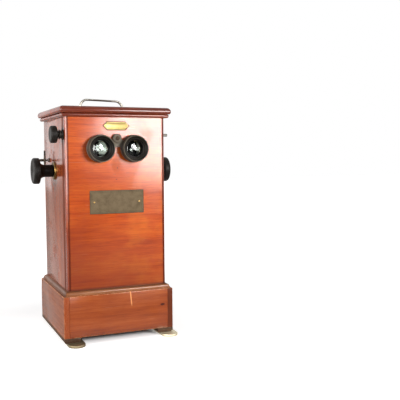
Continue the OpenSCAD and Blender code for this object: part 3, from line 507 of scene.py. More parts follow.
# %% [markdown]
# ## Eyepieces
# Each eyecup is a short black cup. Its rim is rounded so that it can touch the face, its outside steps down
# to the bridge in rings for the fingers, and its inside steps down to the lens in two ledges, whose soft
# edges catch the light. One profile, turned once for each eye, holds all of that.

# %% Eyecups
cup_low, cup_high = corners("eyecup_left")
CUP_R, HOLE_R, NECK_R = (cup_high[0] - cup_low[0]) / 2, 15.0, 15.97
CUP_L, NECK_L, TAPER, LEDGE = 13.0, 6, 0.8, 3.4
RIM_R = CUP_R - TAPER
rim_y = cup_low[1]
lip = [(-2.4, 1.0), (-2.25, 0.5), (-1.8, 0.15), (-1.2, 0.0), (-0.6, 0.1), (-0.15, 0.5), (0, 1.2), (0, 2.2)]
cup_profile = [(RIM_R + r, y) for r, y in lip]
for n in (1, 2, 3):
    before, after, y = RIM_R + TAPER * (n - 1) / 3, RIM_R + TAPER * n / 3, 3 * n
    cup_profile += [(before - 1.2, y - 0.3), (before - 1.3, y + 0.2), (after - 0.5, y + 0.5),
                    (after - 0.1, y + 0.9), (after, y + 1.4), (after, y + 2.2)]
cup_profile += [(CUP_R - 0.1, CUP_L - 0.8), (CUP_R - 0.6, CUP_L - 0.3), (CUP_R - 1.0, CUP_L), (NECK_R, CUP_L),
                (NECK_R, CUP_L + NECK_L), (HOLE_R, CUP_L + NECK_L)]
for r, y in ((HOLE_R, 6.5), (HOLE_R + LEDGE, 3.3)):
    cup_profile += [(r, y + 0.9), (r + 0.12, y + 0.5), (r + 0.5, y + 0.2), (r + LEDGE - 0.5, y - 0.1),
                    (r + LEDGE - 0.12, y - 0.35)]
cup_profile += [(RIM_R - 2.4, 2.6), cup_profile[0]]
for side, x in (("left", -EYE_X), ("right", EYE_X)):
    cup = smooth(turned(f"eyecup_{side}_turned", cup_profile, (x, rim_y, EYE_Z), "+y", 96), 38)
print("eyecup faces:", len(cup.data.polygons))

# %% [markdown]
# The lenses bulge on both faces. A faceted lens would show a broken reflection, so each is turned from a
# fine profile on two large circles. A thin blackened ring holds each against the stop in its brass barrel.

# %% Lenses and their rings
lens_low, lens_high = corners("lenses")
ring_low, ring_high = corners("lens_rings")
LENS_R, FACE_R, LENS_EDGE = 15.9, 14.4, 2.6
bulge = (lens_high[1] - lens_low[1] - LENS_EDGE) / 2
big_r = (FACE_R ** 2 + bulge ** 2) / (2 * bulge)


def lens_height(r):
    """Half the thickness of the lens at a radius."""
    return LENS_EDGE / 2 + bulge - (big_r - math.sqrt(big_r ** 2 - r ** 2))


rings = [FACE_R * i / 14 for i in range(1, 15)]
lens_profile = ([(r, -lens_height(r)) for r in rings] + [(LENS_R, -LENS_EDGE / 2), (LENS_R, LENS_EDGE / 2)]
                + [(r, lens_height(r)) for r in reversed(rings)] + [(0, lens_height(0))])
smooth(pair("lens_pair", lens_profile, EYE_X, ((lens_low[1] + lens_high[1]) / 2, EYE_Z), "+y"), 40)
ring_l = ring_high[1] - ring_low[1]
ring_profile = [(14.5, 0.45), (14.9, 0.1), (15.3, 0), (LENS_R, 0), (LENS_R, ring_l), (14.5, ring_l),
                (14.5, 0.45)]
pair("lens_ring_pair", ring_profile, EYE_X, (ring_low[1], EYE_Z), "+y")
print("lens thickness, mm:", round(2 * lens_height(0), 1))

# %% [markdown]
# The bridge ties both eyepieces together: a ring behind each eyecup, a web between them, and a round boss
# above the middle where the focus rod is screwed on. It was cast in one piece, so its parts are joined with
# Booleans, and a small bevel then gives the soft edges of a painted casting.

# %% The bridge and its screw
bridge_back, bridge_front = corners("bridge")[1][1], rim_y + CUP_L
ring_profile = [(24.5, 0), (24.5, bridge_back - bridge_front)]
bridge = turned("bridge_casting", ring_profile, (-EYE_X, bridge_front, EYE_Z), "+y", 96)
combine(bridge, turned("ring", ring_profile, (EYE_X, bridge_front, EYE_Z), "+y", 96), "UNION")
web = block("web", (-20, bridge_front + 0.3, EYE_Z + 2.8), (20, bridge_back - 0.2, EYE_Z + 17.4))
for up, narrower in ((1, 0.42), (-1, 0.9)):
    edit(web, "FACE", lambda middle, normal: normal.z * up > 0.9)
    bpy.ops.transform.resize(value=(narrower, 1, 1))
    leave()
combine(bridge, web, "UNION")
boss_profile = [(8.2, 0), (8.2, 5.6), (7.9, 6.5), (7.0, 7.0), (3.3, 7.05)]
combine(bridge, turned("boss", boss_profile, (0, bridge_back - 0.1, BOSS_Z), "-y", 64), "UNION")
for x in (-EYE_X, EYE_X):
    bore(bridge, (x, bridge_front - 1, EYE_Z), "+y", 18.95, 8, 96)
bore(bridge, (0, bridge_front - 4, BOSS_Z), "+y", 3.05, 12, 48)
ease(bridge, 0.45, 2, 40)

screw_low, screw_high = corners("bridge_screw")
screw_profile = [(3.85, 0), (3.85, 0.55), (3.6, 0.9), (3.0, 1.12), (1.5, 1.2), (0, 1.2)]
screw_head = turned("bridge_screw_head", screw_profile, (0, screw_high[1], BOSS_Z), "-y", 48)
slot = block("slot", (-5, screw_low[1] - 1, BOSS_Z - 0.45), (5, screw_low[1] + 0.5, BOSS_Z + 0.45))
smooth(combine(screw_head, slot, "DIFFERENCE"))
print("bridge faces:", len(bridge.data.polygons))

# %% [markdown]
# ## Knobs and collars
# The two main knobs are thick discs on a hub that flares out in a cove. The cove is a quarter of an ellipse
# in the profile, and the outer face is dished inside a raised rim. They turn against brass collars let into
# the side walls.

# %% Main knobs and their collars
seat_x = -corners("knob_left")[1][0]
KNOB_R, HUB_R, HUB_L, KNOB_T, COLLAR_SEAT = 24.5, 11.6, 25.6, 12.4, 13.3
full = HUB_L + KNOB_T
flare = HUB_L * 0.4
knob_profile = [(5.02, 0), (HUB_R - 0.9, 0), (HUB_R - 0.3, 0.3), (HUB_R, 0.9), (HUB_R, HUB_L - flare - 2)]
knob_profile += [(HUB_R + (KNOB_R - 3.6 - HUB_R) * (1 - math.cos(math.radians(9 * i))),
                  HUB_L - flare + (flare - 0.4) * math.sin(math.radians(9 * i))) for i in range(11)]
knob_profile += [(KNOB_R - r, HUB_L + d) for r, d in ((1.6, 0.1), (0.7, 0.5), (0.2, 1.2), (0, 2.2))]
knob_profile += [(KNOB_R - r, full - d) for r, d in ((0, 3.4), (0.3, 2.1), (1.1, 0.9), (2.4, 0.2), (3.6, 0),
                                                     (5.2, 0.15), (7.0, 0.7), (9, 0.95))]
knob_profile += [(4, full - 1.2), (2.6, full - 1.9), (1.2, full - 2.0), (0, full - 2.0)]
collar_profile = [(5.06, 0), (8.95, 0), (8.95, 10.1), (17.25, 10.1), (17.35, 11.2), (17.0, 12.3), (16.3, 13.1),
                  (15.3, 13.5), (14.3, 13.4), (13.5, 12.9), (13.0, 12.3), (12.4, 12.0), (11.8, 12.1),
                  (11.2, 12.4), (5.06, 12.5), (5.06, 0)]
for side, facing, sign in (("left", "-x", -1), ("right", "+x", 1)):
    main_knob = smooth(turned(f"main_knob_{side}", knob_profile, (sign * seat_x, 0, MAIN_Z), facing, 96), 32)
    turned(f"brass_collar_{side}", collar_profile, (sign * (seat_x - COLLAR_SEAT), 0, MAIN_Z), facing, 96)
print("main knob stands out to x =", round(main_knob.bound_box[6][0] / MM, 1))

# %% [markdown]
# The focus knob is a small thick disc on a neck, beside a black collar with two rings. Its shaft runs right
# through the cabinet and ends bare on the other side, where a second knob is missing: the turned-down end
# shows a centre mark from the lathe.

# %% Focus knob, collar, bush and shaft
focus_low, focus_high = corners("focus_knob")
FOCUS_R, FOCUS_GAP = 15.3, 3.2
focus_face = FOCUS_GAP + 11.6
focus_profile = [(3.02, 0), (5.6, 0), (6.0, 0.4), (6.0, 1.8), (6.4, 2.5), (7.2, 3.0), (8.6, FOCUS_GAP),
                 (FOCUS_R - 2.4, FOCUS_GAP)]
focus_profile += arc(FOCUS_R - 2.6, FOCUS_GAP + 2.6, 2.6, -78, 0, 6)
focus_profile += arc(FOCUS_R - 2.8, focus_face - 2.8, 2.8, 0, 84, 7)
focus_profile += [(r, focus_face + d) for r, d in ((9.5, 0.1), (5.5, -0.3), (3.0, -0.4), (0, -0.4))]
turned("focus_knob_disc", focus_profile, (focus_high[0], FOCUS_Y, FOCUS_Z), "-x", 80)
collar_rings = [(3.06, 0), (4.95, 0), (4.95, 10.05), (9.25, 10.05), (9.25, 11.3), (8.8, 12.0), (7.5, 12.5),
                (7.1, 13.0), (7.1, 14.4), (7.6, 15.0), (8.5, 15.5), (8.7, 16.0), (8.6, 16.8), (7.9, 17.4),
                (6.2, 17.5), (3.06, 17.5), (3.06, 0)]
turned("focus_collar_black", collar_rings, (WALL - half_x, FOCUS_Y, FOCUS_Z), "-x", 64)
bush_rings = [(3.06, 0), (4.95, 0), (4.95, 10.02), (6.55, 10.02), (6.55, 10.3), (6.2, 10.58), (3.06, 10.6),
              (3.06, 0)]
turned("focus_bush_brass", bush_rings, (half_x - WALL, FOCUS_Y, FOCUS_Z), "+x", 48)
shaft_low, shaft_high = corners("focus_shaft")
shaft_l, STUB_L = shaft_high[0] - shaft_low[0], 11.4
shaft_profile = [(3, 0), (3, shaft_l - STUB_L), (2.6, shaft_l - STUB_L + 0.1), (2.6, shaft_l - 0.4),
                 (2.2, shaft_l), (0.8, shaft_l), (0, shaft_l - 0.8)]
turned("focus_shaft_steel", shaft_profile, (shaft_low[0], FOCUS_Y, FOCUS_Z), "+x", 40)
print("focus knob face at x =", round(focus_low[0], 1), "bare end at x =", round(shaft_high[0], 1))

# %% [markdown]
# ## Lever
# A small pointed lever on the left wall lifts a roller off the notched wheel inside. Its blade is cut from a
# block. Bisecting cuts put rows of points across it, each row is scaled to the width of the blade there, and
# the edges are eased.

# %% The lever, its spindle and bush
BLADE_X, BLADE_T = -101.4, 3.0
lever = block("lever", (BLADE_X - BLADE_T, LEVER_Y - 3.8, LEVER_Z - 9), (BLADE_X, LEVER_Y + 3.8, LEVER_Z + 19))
rows = [(-6.2, 0.78), (0, 1.0), (6.5, 0.72), (13, 0.42), (17, 0.2)]
for height, _ in rows:
    edit(lever, "FACE", lambda middle, normal: True)
    bpy.ops.mesh.bisect(plane_co=metres((BLADE_X, LEVER_Y, LEVER_Z + height)), plane_no=(0, 0, 1))
    leave()
for height, width in rows + [(-9, 0.4), (19, 0.05)]:
    edit(lever, "EDGE", lambda a, b: abs(a.z - LEVER_Z - height) < 0.05 and abs(b.z - LEVER_Z - height) < 0.05)
    bpy.ops.transform.resize(value=(1, width, 1), center_override=metres((BLADE_X, LEVER_Y, LEVER_Z + height)))
    leave()
ease(lever, 0.35, 2, 30)
tip_x, inner_x = (-corner[0] for corner in corners("detent_spindle"))
boss_x = -BLADE_X + BLADE_T
spindle_profile = [(1.5, inner_x), (1.5, -BLADE_X - 0.6), (2.6, -BLADE_X - 0.5), (2.6, boss_x + 5.2),
                   (2.3, boss_x + 8.2), (1.5, boss_x + 8.5), (1.5, tip_x - 0.5), (1.1, tip_x)]
smooth(combine(lever, turned("spindle", spindle_profile, (0, LEVER_Y, LEVER_Z), "-x", 40), "UNION"))
bush_profile = [(1.56, 0), (2.45, 0), (2.45, WALL), (4.0, WALL), (4.0, 11.4), (3.7, 12.3), (3.0, 13.0),
                (2.6, 13.4), (1.56, 13.4), (1.56, 0)]
turned("lever_bush", bush_profile, (WALL - half_x, LEVER_Y, LEVER_Z), "-x", 48)
print("lever faces:", len(lever.data.polygons))

# %% [markdown]
# ## The back
# The rear of the box is a door between a fixed board below and a rail above. It turns on two brass butt
# hinges and is held by a turn button. A window in it lets light in through a sheet of glass that is ground
# dull. The opening is sawn out, and a thin bead round it frames the glass.

# %% Back boards and door
board("back_lower", *corners("back_lower_board"), edge=0.5)
board("back_upper", *corners("back_top_rail"), edge=0.5)
door_low, door_high = corners("rear_door")
glass_low, glass_high = corners("window_glass")
DOOR_X, PULL_X, PULL_Z, LAP, GLASS_GAP = 83.1, -69.5, 210.95, 2.8, 0.2
door_board = board("door_board", (-DOOR_X, door_low[1], door_low[2]), (DOOR_X, half_y, door_high[2]), edge=0.7)
window_low, window_high = (glass_low[0] + LAP, glass_low[2] + LAP), (glass_high[0] - LAP, glass_high[2] - LAP)
rebate_low, rebate_high = ((glass_low[0] - GLASS_GAP, glass_low[2] - GLASS_GAP),
                           (glass_high[0] + GLASS_GAP, glass_high[2] + GLASS_GAP))
for low, high, back in ((rebate_low, rebate_high, glass_high[1] + 0.8), (window_low, window_high, half_y + 1)):
    opening = block("opening", (low[0], door_low[1] - 1, low[1]), (high[0], back, high[1]))
    combine(door_board, opening, "DIFFERENCE")


def window_rim(a, b):
    """Whether an edge lies round the window, on the outer face of the door."""
    return all(abs(p.y - half_y) < 0.05 and abs(p.x) < window_high[0] + 1
               and window_low[1] - 1 < p.z < window_high[1] + 1 for p in (a, b))


edit(door_board, "EDGE", window_rim)
bpy.ops.mesh.bevel(offset=2.2 * MM, segments=4, affect="EDGES")
leave()
smooth(door_board)
pull_profile = [(2.9, -0.5), (2.9, 0), (2.6, 1.2), (2.35, 3.0), (2.5, 4.6), (3.4, 5.8), (4.9, 6.7), (5.5, 7.6),
                (5.5, 8.6), (5.0, 9.8), (3.9, 10.7), (2.2, 11.25), (0, 11.4)]
turned("door_pull", pull_profile, (PULL_X, half_y, PULL_Z), "+y", 56)
print("door, mm:", [round(d / MM, 1) for d in door_board.dimensions])

# %% [markdown]
# A butt hinge has two leaves and a barrel of three knuckles round one pin. The outer knuckles belong to the
# leaf on the wall and the middle one to the leaf on the door, so each half is its own piece and moves with
# its own body.

# %% Hinges
HINGE_X, HINGE_H, PIN_OUT, KNUCKLE_R, KNUCKLE_GAP = 83.5, 40.0, 2.9, 2.7, 0.3
LEAF_T, LEAF_END, SCREW_X = 1.2, 92.9, 89.2
seg = (HINGE_H - 2 * KNUCKLE_GAP) / 3


def leaf(near, far, thick, foot, height, edge):
    """A leaf of a hinge, or the web that ties a knuckle to it: near and far count from the pin, along x."""
    return board("leaf", (HINGE_X + near, half_y, foot), (HINGE_X + far, half_y + thick, foot + height), edge)


def barrel(name, profile, foot, sides=32):
    return turned(name, profile, (HINGE_X, half_y + PIN_OUT, foot), "+z", sides)


def knuckle(hole_r, foot):
    return barrel("knuckle", [(hole_r, 0), (KNUCKLE_R - 0.25, 0), (KNUCKLE_R, 0.25), (KNUCKLE_R, seg - 0.25),
                              (KNUCKLE_R - 0.25, seg), (hole_r, seg), (hole_r, 0)], foot)


def screw_heads(points, radius=1.9):
    """Countersunk screw heads in a hinge leaf, each with its slot."""
    heads = []
    for n, (x, z) in enumerate(points):
        head_profile = [(radius, -0.4), (radius, 0.05), (radius - 0.25, 0.2), (0, 0.25)]
        head = turned("screw", head_profile, (x, half_y + LEAF_T, z), "+y", 28)
        cutter = block("slot", (-3, -0.5, -0.28), (3, 0.5, 0.28))
        cutter.rotation_euler = (0, 0.6 + 0.9 * n, 0)
        cutter.location = metres((x, half_y + LEAF_T + 0.45, z))
        heads.append(combine(head, settle(cutter), "DIFFERENCE"))
    return heads


wall_half, door_half, wall_screws, door_screws = [], [], [], []
for z in (150.4, 346.5):
    wall_half.append(leaf(2.2, LEAF_END - HINGE_X, LEAF_T, z - HINGE_H / 2, HINGE_H, 0.25))
    for foot in (z - seg * 1.5 - KNUCKLE_GAP, z + seg / 2 + KNUCKLE_GAP):
        wall_half += [knuckle(1.3, foot), leaf(1.6, 2.6, PIN_OUT, foot, seg, 0.1)]
    pin_profile = [(0.9, 0), (1.25, 0.3), (1.25, HINGE_H - 0.3), (0.9, HINGE_H)]
    wall_half.append(barrel("pin", pin_profile, z - HINGE_H / 2, 24))
    foot = z - seg / 2
    door_half += [leaf(-22, -1, LEAF_T, foot, seg, 0.25), knuckle(1.36, foot)]
    door_half.append(leaf(-2.6, -1.6, PIN_OUT, foot, seg, 0.1))
    wall_screws += screw_heads([(SCREW_X, z + d) for d in (-14, 0, 14)])
    door_screws += screw_heads([(HINGE_X - 17, z), (HINGE_X - 8, z)])
for name, parts in (("wall_half", wall_half), ("door_half", door_half), ("wall_screws", wall_screws),
                    ("door_screws", door_screws)):
    hinge = joined("hinge_" + name, parts)
    print(hinge.name, "has", len(hinge.data.polygons), "faces")

# %% [markdown]
# A turn button is a bar with half-round ends that swings over the edge of the door. A pin with a domed head
# holds it.

# %% Turn button
button_low, button_high = corners("turn_button")
turn_button = block("turn_button_brass", (button_low[0], half_y + 0.4, button_low[2]),
                    (button_high[0], half_y + 2.4, button_high[2]))
round_edges(turn_button, (button_high[0] - button_low[0]) / 2 - 0.03, 8, lambda a, b: abs(a.y - b.y) > 1)
ease(turn_button, 0.4, 2, 50)
pin_profile = [(1.5, -7.5), (1.5, 2.2), (2.7, 2.3), (2.6, 2.9), (1.9, 3.15), (0, 3.2)]
combine(turn_button, turned("button_pin", pin_profile, (BUTTON_X, half_y, BUTTON_Z), "+y", 32), "UNION")
smooth(turn_button)
print("turn button, mm:", spans(button_low, button_high))

# %% [markdown]
# ## Finishes
# A finish is written as sums on values, as it would be on paper: grain times depth plus wear. One small
# class wraps a shader socket and turns each sum into a Math node, and one method makes every other kind of
# node. All patterns read Object coordinates, which here are the part's own frame, so a pattern never slides
# on its piece. Noise reads them in metres. For masks, x, y and z are turned into mm, as on a drawing.

# %% A socket that can be used in sums, and a material that is written with it
class Wire:
    """A shader socket that takes part in sums."""

    def __init__(self, finish, socket):
        self.finish, self.socket = finish, socket

    def _math(self, operation, *values):
        return self.finish.node("ShaderNodeMath", {"operation": operation}, dict(enumerate(values)))

    def __add__(self, other):
        return self._math("ADD", self, other)

    def __sub__(self, other):
        return self._math("SUBTRACT", self, other)

    def __rsub__(self, other):
        return self._math("SUBTRACT", other, self)

    def __mul__(self, other):
        return self._math("MULTIPLY", self, other)

    def __abs__(self):
        return self._math("ABSOLUTE", self)

    def __pow__(self, power):
        return self._math("POWER", self, power)

    def least(self, other):
        return self._math("MINIMUM", self, other)

    def most(self, other):
        return self._math("MAXIMUM", self, other)

    __radd__, __rmul__ = __add__, __mul__


class Finish:
    """A material whose nodes are written as expressions. Its x, y and z are a point's place in mm."""

    def __init__(self, name, **constants):
        self.material = bpy.data.materials.new(name)
        self.material.use_nodes = True
        self.tree = self.material.node_tree
        self.shader = self.tree.nodes["Principled BSDF"]
        for socket, value in constants.items():
            self.shader.inputs[socket.replace("_", " ")].default_value = value
        self.place = self.node("ShaderNodeTexCoord", {}, {}, "Object")
        self.x, self.y, self.z = (self.node("ShaderNodeSeparateXYZ", {}, {0: self.place}, axis) * (1 / MM)
                                  for axis in "XYZ")

    def node(self, kind, settings, values, output=0):
        """One node, its settings first, then the values or wires of its sockets. Returns one output."""
        made = self.tree.nodes.new(kind)
        for name, setting in settings.items():
            if name == "stops":
                band = made.color_ramp
                band.elements[0].position, band.elements[1].position = setting[0][0], setting[-1][0]
                for place, _ in setting[1:-1]:
                    band.elements.new(place)
                for element, (_, colour) in zip(band.elements, setting):
                    element.color = colour
            else:
                setattr(made, name, setting)
        for socket, value in values.items():
            if isinstance(value, Wire):
                self.tree.links.new(value.socket, made.inputs[socket])
            else:
                made.inputs[socket].default_value = value
        return Wire(self, made.outputs[output])

    def noise(self, scale, stretch=(1, 1, 1), detail=3.0, roughness=0.5, shift=0.0, distortion=0.0):
        """Noise from 0 to 1 with features of 1 / scale metres, made longer along each axis by dividing it."""
        spot = self.node("ShaderNodeVectorMath", {"operation": "MULTIPLY_ADD"},
                         {0: self.place, 1: [scale / s for s in stretch], 2: (shift, shift * 1.7, shift * 0.6)})
        return self.node("ShaderNodeTexNoise", {}, {"Vector": spot, "Scale": 1.0, "Detail": detail,
                                                    "Roughness": roughness, "Distortion": distortion})

    def rise(self, value, start, end):
        """0 up to start, 1 from end on, and a smooth slope between them."""
        settings = {"interpolation_type": "SMOOTHSTEP"}
        return self.node("ShaderNodeMapRange", settings, {0: value, 1: start, 2: end})

    def blend(self, share, first, second):
        """Mixes two colours by a share from 0 to 1."""
        settings = {"data_type": "RGBA", "blend_type": "MIX"}
        return self.node("ShaderNodeMix", settings, {0: share, 6: first, 7: second}, 2)

    def films(self, colour, *films):
        """Lays films over a colour, one on top of the other: each is a share from 0 to 1 and a colour."""
        for share, film in films:
            colour = self.blend(share, colour, paint(*film))
        return colour

    def bump(self, height, distance, strength=1.0):
        return self.node("ShaderNodeBump", {}, {"Height": height, "Distance": distance, "Strength": strength})

    def ray(self, kind):
        """1 for a ray of one kind, such as Camera or Glossy, and 0 for the others."""
        return self.node("ShaderNodeLightPath", {}, {}, f"Is {kind} Ray")

    def set(self, **wires):
        for socket, wire in wires.items():
            self.tree.links.new(wire.socket, self.shader.inputs[socket.replace("_", " ")])
        return self.material


def paint(red, green, blue):
    """A colour as it looks on a screen, turned into the linear values that a shader works with."""
    shares = (value / 255 for value in (red, green, blue))
    return tuple(c / 12.92 if c <= 0.04045 else ((c + 0.055) / 1.055) ** 2.4 for c in shares) + (1.0,)


def deeper(colour, share):
    """A colour with only a share of its light."""
    return tuple(c * share for c in colour[:3]) + (1.0,)


# %% [markdown]
# Wear is strongest on edges. On a board the distance to the nearest edge is easy to find: measure how far a
# point is from the nearer face on each of the three axes, and sort the three numbers. The smallest is nearly
# zero, because the point is on the surface; the second smallest is the distance to the nearest edge.

# %% How near a point is to the edge of a box
def edge_distance(finish, low, high):
    """Distance in mm from a point on a box to its nearest edge."""
    gaps = []
    for wire, l, h in zip((finish.x, finish.y, finish.z), low, high):
        middle, half = (l + h) / 2, (h - l) / 2
        gaps.append(half - abs(wire - middle))
    a, b, c = gaps
    return a.least(b).most(a.most(b).least(c))


# %% [markdown]
# ## Wood
# Mahogany has a warm red-brown ground with broad soft ribbons, fine streaks, and short dark pores, all drawn
# out along the grain. Here each of them is one noise, stretched along the board. Over it lie coats of
# shellac: a glossy layer that has gone matt in patches, has rubbed through to pale wood on the edges, and
# has been scratched in use. The inside of the box was blackened, so that no stray light reaches the eyes.

# %% Polished wood
BLACKENED = paint(26, 22, 20)


def along_grain(along, length):
    return tuple(length if axis == along else 1.0 for axis in "xyz")


def round_the_box(f):
    """Lets the grain of a frame run along each of its four sides, and returns where its mitres are, in mm."""
    mitre = abs(f.x) - abs(f.y) + (half_y - half_x)
    beside = f.rise(mitre, -0.01, 0.01)
    run = f.y * beside + f.x * (1 - beside)
    depth = f.x * beside + f.y * (1 - beside)
    f.place = f.node("ShaderNodeCombineXYZ", {}, {0: run * MM + beside * 2.3, 1: depth * MM, 2: f.z * MM})
    return mitre


def polished_wood(name, along, low, high, shades, worn, seed, wear=1.0, polish=1.0, inside=None, marks=None):
    """Shellacked wood, with its grain along an axis, or along the sides of a mitred frame if along is "ring".

    Shades are its dark, middle and light colours, and worn is the pale wood under the polish. Low and high are
    the corners, in mm, of the form whose edges are rubbed. Inside finds the blackened face, and marks adds the
    board's own marks and its painted shade."""
    f = Finish(name, Coat_Roughness=0.17, Coat_IOR=1.5, Specular_IOR_Level=0.02)
    mitre = round_the_box(f) if along == "ring" else None
    grain = "x" if along == "ring" else along
    ribbons = f.noise(30, along_grain(grain, 7), detail=2, shift=seed, distortion=0.5)
    streaks = f.noise(240, along_grain(grain, 22), detail=3, shift=seed + 3, distortion=0.3)
    fibres = f.noise(1300, along_grain(grain, 30), detail=2, shift=seed + 5)
    pores = f.rise(f.noise(1000, along_grain(grain, 14), detail=1, shift=seed + 9), 0.6, 0.72)
    tone = f.rise(ribbons * 0.42 + streaks * 0.34 + fibres * 0.24, 0.26, 0.74)
    colour = f.node("ShaderNodeValToRGB", {"stops": list(zip((0.0, 0.5, 1.0), shades))}, {0: tone})
    cloud = f.noise(9, detail=3, shift=seed + 13)
    colour = f.blend(f.rise(cloud, 0.42, 0.7) * 0.35, colour, shades[0])
    colour = f.blend(pores * 0.3, colour, deeper(shades[0], 0.4))
    rub = f.noise(180, detail=4, roughness=0.65, shift=seed + 17)
    gap = edge_distance(f, low, high)
    rubbed = (1 - f.rise(gap + (0.46 - rub) * 7, -0.2, 1.3)) * wear
    scratches = f.rise(f.noise(620, (26, 26, 1.3), detail=1, shift=seed + 21), 0.705, 0.74)
    scratches = scratches * f.rise(cloud, 0.35, 0.6)
    matt = f.rise(f.noise(28, detail=4, roughness=0.6, shift=seed + 25), 0.5, 0.72)
    colour = f.blend(scratches * 0.2, colour, worn)
    colour = f.blend(rubbed * 0.55, colour, worn)
    roughness = 0.45 + matt * 0.14 + rubbed * 0.22 + pores * 0.06
    coat = (1 - rubbed * 0.8) * (1 - matt * 0.35) * (0.95 * polish)
    if mitre:
        joint = 1 - f.rise(abs(mitre), 0.12, 0.4)
        colour = f.blend(joint * 0.8, colour, deeper(shades[0], 0.25))
        coat = coat * (1 - joint)
    if marks:
        colour, roughness, coat = marks(f, colour, roughness, coat)
    if inside:
        within = inside(f)
        colour = f.blend(within, colour, BLACKENED)
        roughness = roughness + within * 0.4
        coat = coat * (1 - within)
    sink = pores * -0.5 + fibres * 0.25 + f.noise(55, detail=2, shift=seed + 31) * 2.2
    return f.set(Base_Color=colour, Roughness=roughness, Coat_Weight=coat, Normal=f.bump(sink, 0.00009, 0.6))


def spot(f, x, z, wide, high):
    """1 in the middle of an oval on the front of the box, and 0 at its rim. Sizes in mm."""
    across, up = (f.x - x) * (1 / wide), (f.z - z) * (1 / high)
    return 1 - f.rise(across * across + up * up, 0.3, 1.0)


# %% [markdown]
# Years of use have left their own marks, and some light and shade is painted in among them. On the front,
# a painted shadow darkens the wood round the two eyecups, a dark band runs round the small plate, dust darkens
# the lower edge, and the lower left is painted darker as painted shade. A lighter figure grows towards the lit
# right side, partly the wood's own figure and partly painted light. Both upright edges are painted dark, and a
# band inside each rounded edge darker still, as painted shade beside its bright line. Below the bridge the
# polish is dulled where noses have rested, with two tiny nicks in it. Each mark is a film with its own shape
# and colour.

# %% Marks of use and painted shade on the front
def small_gap(f):
    """The way from the outline of the small plate inwards, in mm, and less than 0 outside it."""
    across, up = abs(f.x), abs(f.z - small_z)
    return (small_half_h - up).least((small_half_w - across - up) * 0.707)


def from_eyes(f):
    """How far a point is from the axis of the nearer eyepiece, in mm."""
    across, up = abs(f.x) - EYE_X, f.z - EYE_Z
    return (across * across + up * up) ** 0.5


def front_marks_and_shade(f, colour, roughness, coat):
    ragged = f.noise(300, detail=3, shift=41)
    nose = f.rise(spot(f, -1, 322, 11, 17) + (ragged - 0.5) * 0.9, 0.35, 0.75)
    nicks = spot(f, 1.5, 317, 1.4, 1.8).most(spot(f, -0.5, 296, 1.6, 1.2))
    # Painted shade: the front is painted darker towards the lower left, where less light falls.
    painted_low_shade = 1 - f.rise(f.z + (f.x + 90) * 0.35, 100, 300)
    # Painted shade: both upright edges are painted dark, the right one more, in place of the dark reflection on
    # the rounded edges.
    sides = f.rise(abs(f.x), 86.5, 90) * (0.5 + f.rise(f.x, 0, 50) * 0.3)
    dust = 1 - f.rise(abs(f.z - 97), 0.5, 4.5)
    # Painted shadow: the wood round each eyecup is painted dark, as the shadow the cups cast.
    painted_cup_shadow = 1 - f.rise(from_eyes(f) + (ragged - 0.5) * 4, 18, 29)
    # Partly the wood's figure and partly painted light: a lighter orange figure that grows towards the lit right
    # side.
    figure_and_lit_side = f.rise(f.noise(26, (1, 1, 0.7), detail=3, shift=43), 0.42, 0.68) * f.rise(f.x, -60, 70)
    # Painted shade: a dark band inside each rounded edge, beside its bright line.
    corner = f.rise(abs(f.x), 87, 88.5) * (1 - f.rise(abs(f.x), 90.2, 91.6))
    around = f.rise(small_gap(f), -1.9, -1.0)
    colour = f.films(colour, (figure_and_lit_side * 0.25, (236, 132, 28)), (painted_low_shade * 0.68, (116, 44, 16)),
                     (sides, (92, 28, 12)), (nose * 0.3, (168, 92, 60)), (nicks * 0.8, (70, 36, 24)),
                     (dust * 0.5, (60, 32, 24)), (painted_cup_shadow * 0.75, (44, 20, 10)), (corner * 0.6, (70, 26, 14)),
                     (around * 0.85, (56, 38, 22)))
    lost = (nose * 0.55).most(painted_cup_shadow * 0.6).most(around * 0.85).most(corner * 0.8)
    return colour, roughness + nose * 0.3 + painted_low_shade * 0.04, coat * (1 - lost)


# %% [markdown]
# The plinth has a pale gouge that runs down from its upper edge, and a dark dent on the right, and its foot is
# painted darker, as painted shade. Its side boards show their ends at the front corners. On each side wall a
# band just behind the front board is painted dark, as painted shade beside the bright line down the rounded
# edge. The moulding is darker on its sides and at its top, where it meets the walls.

# %% Marks of use and painted shade on the plinth, the walls and the moulding
def plinth_marks_and_shade(f, colour, roughness, coat):
    gouge = (1 - f.rise(abs(f.x - 20 + (f.z - 88) * 0.09), 0.5, 1.7)) * f.rise(f.z, 60, 68)
    dent = spot(f, 83, 59, 5.5, 2.4)
    # Painted shade: the foot of the plinth is painted darker towards the floor.
    under = 1 - f.rise(f.z, 14, 26)
    colour = f.films(colour, (gouge * 0.85, (236, 158, 92)), (dent * 0.85, (52, 26, 20)),
                     (under * 0.3, (84, 36, 26)))
    return colour, roughness + gouge * 0.2, coat * (1 - dent * 0.5)


def end_grain(f, colour, roughness, coat):
    """The front ends of the plinth's side boards: the left one has pale dots, the right one is dark."""
    ends = f.rise(abs(f.y), 105.6, 105.9)
    dots = f.noise(900, detail=3, shift=71)
    colour = f.films(colour, (ends * 0.75, (158, 70, 30)),
                     (ends * f.rise(dots, 0.45, 0.75) * 0.35, (196, 126, 92)),
                     (ends * f.rise(f.x, 0, 10) * 0.75, (76, 32, 18)))
    return colour, roughness + ends * 0.12, coat * (1 - ends * 0.4)


def wall_flank_shade(f, colour, roughness, coat):
    """A band just behind the joint to the front board is painted dark and dull: painted shade beside the bright
    line down the rounded edge.
    """
    band = 1 - f.rise(abs(f.y + 77), 4, 9)
    return f.films(colour, (band * 0.7, (70, 24, 14))), roughness + band * 0.1, coat * (1 - band * 0.8)


